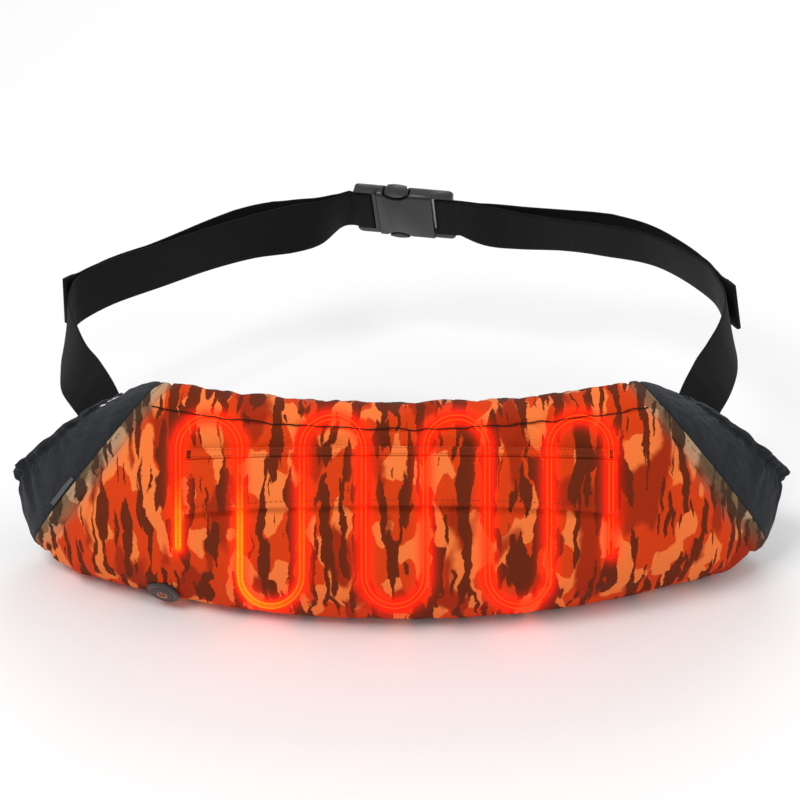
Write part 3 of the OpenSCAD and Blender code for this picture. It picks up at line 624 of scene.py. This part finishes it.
front_cover = cover_part("front_cover", "front_panel", lambda t, a, th: (
    (np.abs(t) < inner_t) & (a < TOP_SEAM) & ~((np.abs(th) < 15) & (a > 21) & (a < 33)) & ~at_button(t, a, BUTTON_HOLE_R)))
top_cover = cover_part("top_cover", "top_panel", lambda t, a, th: (
    (np.abs(t) < inner_t) & (a > TOP_SEAM) & (a < BACK_SEAM)))
back_cover = cover_part("back_cover", "back_panel", lambda t, a, th: (np.abs(t) < inner_t) & (a > BACK_SEAM))
left_band = cover_part("left_band", "left_end_band", lambda t, a, th: t < -inner_t)
right_band = cover_part("right_band", "right_end_band", lambda t, a, th: t > inner_t)
bpy.data.objects.remove(cover)

# ---------------------------------------------------------------- flap and its welt
def padded_strip(name, low, high, outer, inner, n_theta, n_a, rise=0.0, seed=1, edge_r=1.6):
    """A soft two-sided strip between two section angles, thinned at its edges."""
    th = np.linspace(-FLAP_ANGLE, FLAP_ANGLE, n_theta)
    aa = np.linspace(low, high, n_a)
    TH, AA = np.meshgrid(th, aa, indexing="ij")
    edge_a = np.minimum(AA - low, high - AA) * 1.25
    edge_t = (FLAP_ANGLE - np.abs(TH)) * np.radians(1) * 455
    edge = np.minimum(edge_a, edge_t)
    full = np.clip(edge / edge_r, 0, 1)
    round_off = 0.35 + 0.65 * np.sqrt(1 - (1 - full) ** 2)
    drooped = AA - 12 * (TH / FLAP_ANGLE) ** 2
    mid, half = (outer + inner) / 2, abs(outer - inner) / 2
    flat = np.stack([TH.ravel() * 8, AA.ravel() * 1.25, 0 * AA.ravel()], -1)
    ripple = rise * lumps(flat, 34, seed).reshape(TH.shape)
    stitch = 0.45 * np.exp(-((edge - 3.6) / 0.9) ** 2)
    sides = []
    for sign in (1, -1):
        d = mid - sign * (half * round_off - stitch) - ripple
        r, z = section(drooped, d)
        sides.append(turned(r, z, TH).reshape(-1, 3) * MM)
    count = n_theta * n_a
    faces = [f[::-1] for f in grid_faces(n_theta, n_a)]
    faces += [tuple(count + v for v in f[::-1]) for f in faces]
    rim = ([i for i in range(n_a)] + [i * n_a + n_a - 1 for i in range(1, n_theta)]
           + [(n_theta - 1) * n_a + j for j in range(n_a - 2, -1, -1)]
           + [i * n_a for i in range(n_theta - 2, 0, -1)])
    faces += [(rim[k], rim[(k + 1) % len(rim)], count + rim[(k + 1) % len(rim)], count + rim[k])
              for k in range(len(rim))]
    o = new_object(name, np.vstack(sides), faces)
    along = np.radians(TH.ravel()) * 455
    up = section_run(drooped.ravel())
    one = np.stack([along, up, 0 * up], -1) * MM
    attribute(o, "cloth", np.vstack([one, one + [0.3, 0.2, 0]]), "FLOAT_VECTOR")
    # painted glow tint: full on the flap's outer side, less on its underside
    attribute(o, "painted_glow_tint", np.concatenate([0 * up + 1, 0 * up + 0.4]))
    bm = bmesh.new()
    bm.from_mesh(o.data)
    bmesh.ops.recalc_face_normals(bm, faces=bm.faces)
    bm.to_mesh(o.data)
    bm.free()
    return o


flap = padded_strip("flap", FLAP_LOW, WELT_LOW - 0.06, -5.7, -3.6, 181, 31, 0.35, 3)
welt = padded_strip("welt", WELT_LOW, WELT_HIGH, -5.7, 0.3, 181, 13, 0.15, 4, 4.0)

# ---------------------------------------------------------------- glowing cable seen through the cloth
# The plan is square to the view and passes through the flap's lower edge, in mm from its middle
PLAN_AT = Vector((0, -0.2331, -0.0147))
LEG_PITCH, FIRST_LEG, LEGS = 37.8, -135.6, 8
LINE_TOP, LINE_BOTTOM = 35.4, -42.2
FIRST_END, LAST_END = -25.7, -29.9
plan_up = Vector((1, 0, 0)).cross(-view_back) * -1
plan_up = plan_up if plan_up.z > 0 else -plan_up


def glow_path():
    path = []
    for i in range(LEGS):
        x = FIRST_LEG + LEG_PITCH * i
        low = FIRST_END if i == 0 else LAST_END if i == LEGS - 1 else LINE_BOTTOM
        rising = i % 2 == 0
        ends = (low, LINE_TOP) if rising else (LINE_TOP, low)
        path += [(x, y) for y in np.linspace(*ends, 24)]
        if i < LEGS - 1:
            c = ends[1]
            r = LEG_PITCH / 2
            path += [(x + r - r * math.cos(u), c + (1 if rising else -1) * r * math.sin(u))
                     for u in np.linspace(0, math.pi, 22)[1:-1]]
    return resample([(x, y, 0) for x, y in path], 1.2)


plan_path = glow_path()
camera_at = np.array(camera.location)
depth_axis = np.array(-view_back)
plan_depth = float((np.array(PLAN_AT) - camera_at) @ depth_axis)


def to_plan(points):
    rel = np.asarray(points) - camera_at
    scale = plan_depth / (rel @ depth_axis)
    on = camera_at + rel * scale[:, None] - np.array(PLAN_AT)
    return np.stack([on[:, 0], on @ np.array(plan_up)], -1) * 1000


def heat(q):
    """How yellow the cable shows at points of the plan: most at the lower left."""
    return smooth((-38 - q[:, 0]) / 70) * smooth((22 - q[:, 1]) / 45)


def plan_distance(points):
    q = to_plan(points)
    best = np.full(len(q), 1e9)
    for k in range(0, len(plan_path), 2):
        best = np.minimum(best, (q[:, 0] - plan_path[k, 0]) ** 2 + (q[:, 1] - plan_path[k, 1]) ** 2)
    return np.sqrt(best)


def tree_of(o):
    return BVHTree.FromPolygons([tuple(v.co) for v in o.data.vertices],
                                [tuple(p.vertices) for p in o.data.polygons])


def subdivide(o):
    m = o.modifiers.new("finer", "SUBSURF")
    m.levels = m.render_levels = 1
    m.boundary_smooth = "PRESERVE_CORNERS"
    return apply_modifiers(o)


for o in (front_cover, flap, welt, top_cover):
    if o is front_cover:
        subdivide(o)
    co = coordinates(o)
    # painted glow of the cable: a red halo and a brighter core, only on faces turned to the camera
    facing = normals(o) @ np.array(view_back) > 0.05
    away = plan_distance(co)
    attribute(o, "glow", 0.96 * np.exp(-(away / 5.2) ** 2) * facing)
    attribute(o, "glow_core", np.exp(-(away / 1.9) ** 2) * facing * (0.02 + 0.85 * heat(to_plan(co))))
for o in (back_cover, left_band, right_band):
    attribute(o, "glow", np.zeros(len(o.data.vertices)))
    attribute(o, "glow_core", np.zeros(len(o.data.vertices)))

lit_trees = [("cover", tree_of(front_cover)), ("welt", tree_of(welt)), ("flap", tree_of(flap)),
             ("top", tree_of(top_cover))]


def cast(q):
    """Where a plan point meets the cloth, seen from the camera: (piece, point)."""
    target = PLAN_AT + Vector((q[0], 0, 0)) * MM + plan_up * (q[1] * MM)
    ray = (target - camera.location).normalized()
    best = None
    for label, tree in lit_trees:
        hit, normal, _, distance = tree.ray_cast(camera.location, ray)
        if hit is not None and (best is None or distance < best[0]):
            best = (distance, label, hit - ray * 0.25 * MM)
    return best[1:] if best else None


def cable_runs():
    """The two strands, cut wherever they step from one piece of cloth to another."""
    runs = {"flap": [], "cover": []}
    way = np.gradient(plan_path[:, :2], axis=0)
    way /= np.linalg.norm(way, axis=1)[:, None]
    square = np.stack([-way[:, 1], way[:, 0]], -1)
    for offset in (-1.35, 1.35):
        current, label_now = [], None
        for q in plan_path[:, :2] + offset * square:
            found = cast(q)
            label = None if found is None else "flap" if found[0] == "flap" else "cover"
            jump = current and found and (Vector(found[1]) - Vector(current[-1])).length > 6 * MM
            if label != label_now or jump:
                if label_now and len(current) > 2:
                    runs[label_now].append(current)
                current, label_now = [], label
            if found:
                current.append(tuple(found[1]))
        if label_now and len(current) > 2:
            runs[label_now].append(current)
    return runs


runs = cable_runs()
lines = {}
for label, paths in runs.items():
    o = tube_mesh("glow_on_" + label, paths, 0.32 * MM, 6)
    attribute(o, "hot", 0.05 + 0.95 * heat(to_plan(coordinates(o))))
    lines[label] = dress(o, "glow_line")
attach(lines["cover"], "muff")

# ---------------------------------------------------------------- stitching
def stitches(name, path, length=2.4, gap=1.1, radius=0.19, lift=0.14, tree=None):
    """Short raised threads along a path on a surface, in metres."""
    fine = resample(path, 0.4 * MM)
    period, dash = int((length + gap) / 0.4), int(length / 0.4)
    paths = []
    for i in range(0, len(fine) - dash, period):
        bit = []
        for k in (0, dash // 2, dash):
            p = Vector(fine[i + k])
            if tree is not None:
                hit, normal, _, _ = tree.find_nearest(p)
                p = hit + normal * (lift if k == dash // 2 else 0.3 * lift) * MM
            bit.append(tuple(p))
        paths.append(bit)
    return tube_mesh(name, paths, radius * MM, 5)


def on_body(t, a):
    return body_point(np.asarray(t, float), np.asarray(a, float), -0.3) * MM


ring_angles = np.linspace(-86, 274, 400)
for side, band in ((-1, left_band), (1, right_band)):
    label = "left" if side < 0 else "right"
    band_line = on_body(0 * ring_angles + side * 0.984, ring_angles)
    thread = stitches(label + "_band_stitching", band_line, tree=tree_of(band))
    dress(thread, "thread", "muff")
top_line = [cover_tree.find_nearest(Vector(p))[0] for p in on_body(np.linspace(-0.95, 0.95, 320), TOP_SEAM)]
top_line = np.array(top_line)
SMOOTHING_PASSES = 12  # takes out the steps between the cover's faces
for _ in range(SMOOTHING_PASSES):
    top_line[1:-1] = (top_line[:-2] + 2 * top_line[1:-1] + top_line[2:]) / 4
# a dark continuous thread along the top seam; its dark colour also stands in for the painted shade in the seam's
# groove
top_seam_shade_thread = tube_mesh("top_seam_thread_and_shade", [top_line + [0, -0.2 * MM, 0.1 * MM]], 0.4 * MM, 6)
dress(top_seam_shade_thread, "thread_dark", "muff")
flap_tree, welt_tree = tree_of(flap), tree_of(welt)


def on_flap(theta, a):
    theta, a = np.broadcast_arrays(np.asarray(theta, float), np.asarray(a, float))
    r, z = section(a - 12 * (theta / FLAP_ANGLE) ** 2, -5.7)
    return turned(r, z, theta) * MM


flap_thetas = np.linspace(-FLAP_ANGLE + 0.45, FLAP_ANGLE - 0.45, 200)
flap_rows = [
    on_flap(flap_thetas, FLAP_LOW + 2.9),
    on_flap(-FLAP_ANGLE + 0.45, np.linspace(FLAP_LOW + 3, WELT_LOW - 1, 60)),
    on_flap(FLAP_ANGLE - 0.45, np.linspace(FLAP_LOW + 3, WELT_LOW - 1, 60)),
]
flap_threads = [dress(stitches(f"flap_stitching_{i + 1}", row, tree=flap_tree), "thread")
                for i, row in enumerate(flap_rows)]
for i, a in enumerate((WELT_LOW + 1.5, WELT_HIGH - 1.5)):
    row = on_flap(flap_thetas, a)
    dress(stitches(f"welt_stitching_{i + 1}", row, 2.0, 1.0, 0.17, tree=welt_tree), "thread", "muff")


def bartack(theta, low, high, name):
    zig = [on_flap(theta + (0.16 if k % 2 else -0.16), low + (high - low) * k / 22) for k in range(23)]
    o = tube_mesh(name, [[tuple(welt_tree.find_nearest(Vector(p))[0] + Vector((0, -0.3 * MM, 0))) for p in zig]],
                  0.3 * MM, 6)
    return dress(o, "thread", "muff")


bartack(-FLAP_ANGLE + 0.5, WELT_LOW + 0.6, WELT_HIGH - 0.6, "bartack_left")
bartack(FLAP_ANGLE - 0.5, WELT_LOW + 0.6, WELT_HIGH - 0.6, "bartack_right")

for o, node_name, fill in ((front_cover, "front_panel", 0.8), (top_cover, "top_panel", 0.6),
                           (back_cover, "back_panel", 0.7), (left_band, "left_end_band", 0.4),
                           (right_band, "right_end_band", 0.4), (welt, "flap_welt", 0.5)):
    if o is front_cover:
        thicken(o, 0.5)
    dress(o, "camo_cloth", "muff")
    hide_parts(node_name)
dress(flap, "camo_cloth")
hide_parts("pocket_flap")
for o in (flap, lines["flap"], *flap_threads):
    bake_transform(o)

# ---------------------------------------------------------------- cuffs and lining
def cuff(side, name):
    """Outer fleece: smooth beside the body, gathered towards the elastic, with a frill at the rim."""
    n_a = 300
    aa = np.linspace(0, 360, n_a, endpoint=False)
    g = np.random.default_rng(20 + side)
    ws = np.concatenate([np.linspace(0, 0.8, 26), np.linspace(0.82, 1.0, 14)])
    folds = np.zeros(n_a)
    for k, (count, size) in enumerate(((11, 1.0), (17, 0.8), (26, 0.55), (37, 0.3))):
        folds += size * np.sin(np.radians(aa) * count + g.uniform(0, 6.28) + 1.2 * np.sin(np.radians(aa) * 3 + k))
    folds = folds / 2
    phase = np.radians(aa) * 34 + 1.6 * np.sin(np.radians(aa) * 5 + side)
    gathers = np.sin(phase) + 0.4 * np.sin(2.3 * phase + 1)
    rows_out = []
    for w in ws:
        grow = smooth((w - 0.12) / 0.6)
        channel = np.exp(-((w - 0.83) / 0.055) ** 2)
        gather = np.exp(-((w - 0.83) / 0.12) ** 2)
        frill = smooth((w - 0.87) / 0.08)
        puff = 1.0 * np.sin(np.pi * min(1, w / 0.86)) ** 0.8
        d = -(puff + grow * 1.5 * folds + gather * 1.1 * gathers - 2.4 * channel + 1.2 * frill * (1 + 0.6 * folds))
        d += 0.8 * np.exp(-(w / 0.02) ** 2)
        shift = w + 0.018 * grow * folds * (w < 0.999)
        rows_out.append(cuff_point(side, np.clip(shift, 0, 1.02) + 0 * aa, aa, np.minimum(d, 1.6)))
    for w, depth in ((1.02, -0.2), (1.03, 1.2), (1.015, 2.6), (0.97, 3.5), (0.9, 4.2)):
        d = depth - 0.9 * folds * (1 if depth < 2 else 0.6)
        rows_out.append(cuff_point(side, w + 0.01 * folds, aa, d))
    verts = np.vstack(rows_out) * MM
    p = verts * 1000
    o = new_object(name, verts, grid_faces(len(rows_out), n_a, True))
    nn = normals(o)
    if side < 0:
        o.data.flip_normals()
    fuzz = 0.28 * lumps(p, 9, 31) + 0.35 * lumps(p, 24, 32)
    weight = np.repeat(np.concatenate([smooth(ws / 0.15), np.ones(5)]), n_a)
    set_coordinates(o, verts + nn * (side * fuzz * weight * MM)[:, None])
    return o


def lining(name):
    """The fleece lining of the whole hand tunnel, from rim to rim."""
    n_a = 180
    aa = np.linspace(0, 360, n_a, endpoint=False)
    rows_in = []
    for w in np.linspace(0.93, 0.06, 12):
        into = smooth((0.5 - w) / 0.5)
        rows_in.append(cuff_point(-1, w + 0 * aa, aa, 4.9 + 6 * into))
    for t in np.linspace(-0.96, 0.96, 61):
        near = smooth((np.abs(t) - 0.86) / 0.1)
        d = (15.6 + 6 * cos(aa)) * (1 - near) + (13 + 2.5 * cos(aa)) * near
        rows_in.append(body_point(t + 0 * aa, aa, d))
    for w in np.linspace(0.06, 0.93, 12):
        into = smooth((0.5 - w) / 0.5)
        rows_in.append(cuff_point(1, w + 0 * aa, aa, 4.9 + 6 * into))
    verts = np.vstack(rows_in) * MM
    o = new_object(name, verts, [f[::-1] for f in grid_faces(len(rows_in), n_a, True)])
    fuzz = 0.5 * lumps(verts * 1000, 26, 41) + 0.5 * lumps(verts * 1000, 60, 42)
    set_coordinates(o, verts + normals(o) * (fuzz * MM)[:, None])
    return o


for side, label in ((-1, "left"), (1, "right")):
    o = cuff(side, label + "_cuff")
    dress(o, "plush", "muff")
    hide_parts(label + "_cuff_shell")
tunnel = dress(lining("tunnel_lining"), "fleece", "muff")
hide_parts("left_cuff_lining", "right_cuff_lining",
            *[n for n in frame["nodes"] if n.startswith("hand_lining_")])

left_cuff_tree = tree_of(bpy.data.objects["left_cuff"])


def label_piece():
    """The small blank woven label sewn along the left cuff's seam."""
    ws, aa = np.linspace(0.13, 0.03, 9), np.linspace(-11, 5, 14)
    W, AA = np.meshgrid(ws, aa, indexing="ij")
    verts = []
    for p in (cuff_point(-1, W, AA, -4.0) * MM).reshape(-1, 3):
        hit, normal, _, _ = left_cuff_tree.find_nearest(Vector(p))
        outward = (Vector(p) - hit).normalized()
        verts.append(hit + outward * 0.9 * MM)
    o = new_object("label", verts, grid_faces(9, 14))
    m = o.modifiers.new("even", "SMOOTH")
    m.factor, m.iterations = 0.5, 6
    apply_modifiers(o)
    return thicken(o, 0.5, 1)


label = dress(label_piece(), "label_tape", "muff")
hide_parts("cuff_label")

# ---------------------------------------------------------------- belt
WEB_W, WEB_T = 38.0, 1.6
BUCKLE_POS, BUCKLE_YAW, BUCKLE_LEAN = np.array([4.0, 158.0, 6.0]), -12.0, 25.0
BAR_X, END_BAR_X, TURN_R, STEPS, TAIL_STEPS = 27.0, 36.0, 2.9, 6, 50
# (step back from the fold, mm between the run and its tail there), on each side
TAIL_GAPS = {
    -1: [(0, 1.8), (5, 1.8), (8, 2.2), (14, 8), (20, 14), (26, 12),
         (32, 7), (38, 2.5), (44, 1.95), (47, 3), (49, 6), (51, 9)],
    1: [(0, 1.8), (5, 1.8), (9, 2.2), (16, 6), (24, 9), (31, 11),
        (37, 7), (42, 2.5), (45, 1.95), (47, 3), (49, 6), (51, 9)]}


def on_buckle(p):
    x, y, z = p
    c, s = cos(BUCKLE_LEAN), sin(BUCKLE_LEAN)
    y, z = y * c - z * s, y * s + z * c
    c, s = cos(BUCKLE_YAW), sin(BUCKLE_YAW)
    return BUCKLE_POS + np.array([x * c - y * s, x * s + y * c, z])


def stations(side):
    """Stations of a strap's inner run, as in the CAD: x, y, z and lean."""
    left = [[-150, -129.3, -63, 0], [-166, -122, -52.5, 0], [-181, -113.4, -42, 6], [-203, -87, -21, 28],
            [-212, -73, -16, 34], [-221, -56, -14, 30], [-227, -34, -11, 20], [-231, -12, -7, 10],
            [-230, 8, -3, 4], [-226, 24, -1, 5], [-205, 48, 1, 6], [-171, 79, 0, 8],
            [-139, 106, 0, 9], [-108, 127, 0, 6], [-80, 140, 0, -5], [-60, 149, 1, 6]]
    right = [[150, -129.3, -63, 0], [166, -122, -52.5, 0], [181, -113.2, -42, 6], [201, -87, -21, 28],
             [209, -73, -15, 34], [217, -56, -12, 30], [225, -34, -8, 22], [229, -8, -4, 13],
             [227, 18, -1, 12], [219, 54, 0, 20], [187, 101, 0, 28], [150, 119.7, 0, 28],
             [121, 129, 0, 28], [90, 136, 0, 20], [67, 142, 1, 14]]
    ends = [[*on_buckle((side * x, -TURN_R, 0)), BUCKLE_LEAN] for x in (45, END_BAR_X, BAR_X)]
    return np.array((left if side < 0 else right) + ends, float)


def unit(v):
    return v / np.linalg.norm(v, axis=-1, keepdims=True)


def run_frame(side):
    """Points of a strap's inner run, with its width and outward directions."""
    run = catmull(stations(side), STEPS)
    p = run[:, :3]
    way = unit(np.vstack([p[1:2] - p[:1], p[2:] - p[:-2], p[-1:] - p[-2:-1]]))
    flat = unit(np.array([0, 0, 1]) - way * way[:, 2:])
    a = -run[:, 3:] * side
    up = flat * cos(a) + np.cross(way, flat) * sin(a)
    return p, way, up, np.cross(way, up) * side


def strap_rows(side):
    p, way, up, out = run_frame(side)
    rows_p, rows_u, rows_o = list(p), list(up), list(out)
    bar = on_buckle((side * BAR_X, 0, 0))
    on, far, u = way[-1], out[-1], up[-1]
    for a in np.arange(22.5, 158, 22.5):
        rows_p.append(bar + on * TURN_R * sin(a) - far * TURN_R * cos(a))
        rows_u.append(u)
        rows_o.append(far * cos(a) - on * sin(a))
    for q in (bar + far * TURN_R, bar + far * 1.9 - on * 3.6, bar - far * 0.5 - on * 6.2):
        rows_p.append(q)
        rows_u.append(u)
        rows_o.append(-far)
    bend = len(p) - 1 - STEPS
    gaps = np.array(TAIL_GAPS[side])
    for k in range(TAIL_STEPS + 1):
        i = bend - k
        rows_p.append(p[i] + out[i] * np.interp(k, gaps[:, 0], gaps[:, 1]))
        rows_u.append(up[i])
        rows_o.append(-out[i])
    return np.array(rows_p), np.array(rows_u), np.array(rows_o)


def ribbon(name, rows, thickness=WEB_T, width=WEB_W, wave=0.0, hem=0, fine=4):
    """Webbing along rows of (middle, width direction, outward direction), with round edges."""
    p, u, o = (catmull(r, fine) for r in rows)
    u, o = unit(u), unit(o)
    run = np.concatenate([[0], np.cumsum(np.linalg.norm(np.diff(p, axis=0), axis=1))])
    t = np.full(len(p), thickness)
    if hem:
        t[run > run[-1] - hem] = 2 * thickness
    half = width / 2
    profile = [(-half, 0), (-half + 0.25, 0.35), (-half + 0.8, 0.5)]
    profile += [(x, 0.5) for x in np.linspace(-half + 3, half - 3, 7)]
    profile += [(half - 0.8, 0.5), (half - 0.25, 0.35), (half, 0)]
    profile += [(x, -y) for x, y in profile[-2:0:-1]]
    cup = wave * lumps(np.stack([run, 0 * run, 0 * run], -1), 70, 51)
    verts, cloth = [], []
    for x, y in profile:
        bow = cup * (x / half) ** 2
        verts.append(p + u * x + o * (y * t + bow)[:, None])
        cloth.append(np.stack([np.full(len(p), x) * MM, run * MM, 0 * run + (0.1 if y < 0 else 0)], -1))
    verts = np.stack(verts, 1).reshape(-1, 3) * MM
    cloth = np.stack(cloth, 1).reshape(-1, 3)
    m = len(profile)
    faces = grid_faces(len(p), m, True) + [tuple(range(m))[::-1], tuple((len(p) - 1) * m + k for k in range(m))]
    piece = new_object(name, verts, faces)
    bm = bmesh.new()
    bm.from_mesh(piece.data)
    bmesh.ops.recalc_face_normals(bm, faces=bm.faces)
    bm.to_mesh(piece.data)
    bm.free()
    attribute(piece, "cloth", cloth, "FLOAT_VECTOR")
    return piece


for side, label in ((-1, "left"), (1, "right")):
    strap = ribbon(label + "_belt", strap_rows(side), hem=9)
    dress(strap, "webbing")
    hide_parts(label + "_strap")
    if side < 0:
        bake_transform(strap)
    else:
        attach(strap, "muff")
    p, way, up, out = run_frame(side)
    patch = ribbon(label + "_belt_patch", (p[:10] - out[:10] * 1.9, up[:10], out[:10]), 0.9, WEB_W * 1.24)
    dress(patch, "webbing", "muff")
    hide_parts(label + "_strap_anchor")
    square = []
    outside = -out * 2.5
    for along, high in ((1, -18), (8, -18), (8, 18), (1, 18), (1, -18), (8, 18), (1, 18), (8, -18)):
        square.append(p[along] + outside[along] + up[along] * high)
    dress(stitches(label + "_patch_stitching", np.array(square) * MM, tree=tree_of(patch)), "thread_black",
          "muff")


def bevelled(node_name, width, body, material, segments=2):
    """A copy of a hard CAD piece with softened edges."""
    source = frame["nodes"][node_name]
    o = bpy.data.objects.new(node_name + "_look", source.data.copy())
    bpy.context.scene.collection.objects.link(o)
    bm = bmesh.new()
    bm.from_mesh(o.data)
    bmesh.ops.remove_doubles(bm, verts=bm.verts, dist=0.005 * MM)
    bmesh.ops.dissolve_limit(bm, angle_limit=math.radians(1.0), verts=bm.verts, edges=bm.edges)
    bm.to_mesh(o.data)
    bm.free()
    m = o.modifiers.new("bevel", "BEVEL")
    m.width, m.segments = width * MM, segments
    m.limit_method, m.angle_limit = "ANGLE", math.radians(28)
    m.harden_normals = False
    o.data.shade_smooth()
    apply_modifiers(o)
    bm = bmesh.new()
    bm.from_mesh(o.data)
    for f in bm.faces:
        f.smooth = True
    for e in bm.edges:
        e.smooth = len(e.link_faces) == 2 and e.calc_face_angle(0) < math.radians(32)
    bm.to_mesh(o.data)
    bm.free()
    dress(o, material, body)
    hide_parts(node_name)
    return o


for node_name, body in (("buckle_socket", "muff"), ("buckle_clip", "clip"), ("upper_prong", "upper_prong_arm"),
                        ("lower_prong", "lower_prong_arm")):
    bevelled(node_name, 0.6, body, "buckle_plastic")

# ---------------------------------------------------------------- power button's lit icon
cap_low, cap_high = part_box("button_cap")
cap_co = coordinates(frame["nodes"]["button_cap"])
cap_mid = Vector((cap_low + cap_high) / 2)
theta = math.radians(BUTTON_THETA)
r0, z0 = section(np.array([-52.0, -50.0, -48.0]))
tangent = unit(np.array([r0[2] - r0[0], z0[2] - z0[0]]))
radial = np.array([math.sin(theta), -math.cos(theta), 0])
cap_up = Vector(radial * tangent[0] + np.array([0, 0, tangent[1]]))
cap_side = Vector((math.cos(theta), math.sin(theta), 0))
cap_out = cap_side.cross(cap_up)
cap_out = cap_out if cap_out.dot(view_back) > 0 else -cap_out
face_out = max((Vector(c) - cap_mid).dot(cap_out) for c in cap_co)


def on_cap(x, y):
    return tuple(cap_mid + cap_side * x * MM + cap_up * y * MM + cap_out * (face_out - 0.12 * MM))


arc = [on_cap(3.0 * math.sin(u), 3.0 * math.cos(u)) for u in np.linspace(0.7, 2 * math.pi - 0.7, 40)]
bar = [on_cap(0, y) for y in np.linspace(0.8, 3.8, 8)]
dress(tube_mesh("power_icon", [arc, bar], 0.34 * MM, 8), "icon_light", "button")

# ---------------------------------------------------------------- stage
floor_mesh = new_object("floor", [(-3, -3, -0.1207), (3, -3, -0.1207), (3, 3, -0.1207), (-3, 3, -0.1207)],
                        [(0, 1, 2, 3)])
floor_mesh.data.materials.append(shader("floor", (0.93, 0.93, 0.93), 0.9))


def area_light(name, at, power_w, size, colour=(1, 1, 1)):
    lamp = bpy.data.lights.new(name, "AREA")
    lamp.energy, lamp.size, lamp.color = power_w, size, colour
    o = bpy.data.objects.new(name, lamp)
    bpy.context.scene.collection.objects.link(o)
    o.location = at
    o.rotation_euler = (Vector(at) - Vector((0, -0.05, -0.03))).to_track_quat("Z", "Y").to_euler()
    return o


lights = [area_light("key", (-0.9, -1.2, 1.9), 27, 1.0), area_light("fill", (1.5, -0.9, 1.1), 6, 1.4),
          area_light("back", (0.2, 1.6, 1.5), 14, 1.2)]
world = bpy.data.worlds.new("studio")
bpy.context.scene.world = world
world.use_nodes = True
world.node_tree.nodes["Background"].inputs["Color"].default_value = (1, 1, 1, 1)
world.node_tree.nodes["Background"].inputs["Strength"].default_value = 0.55
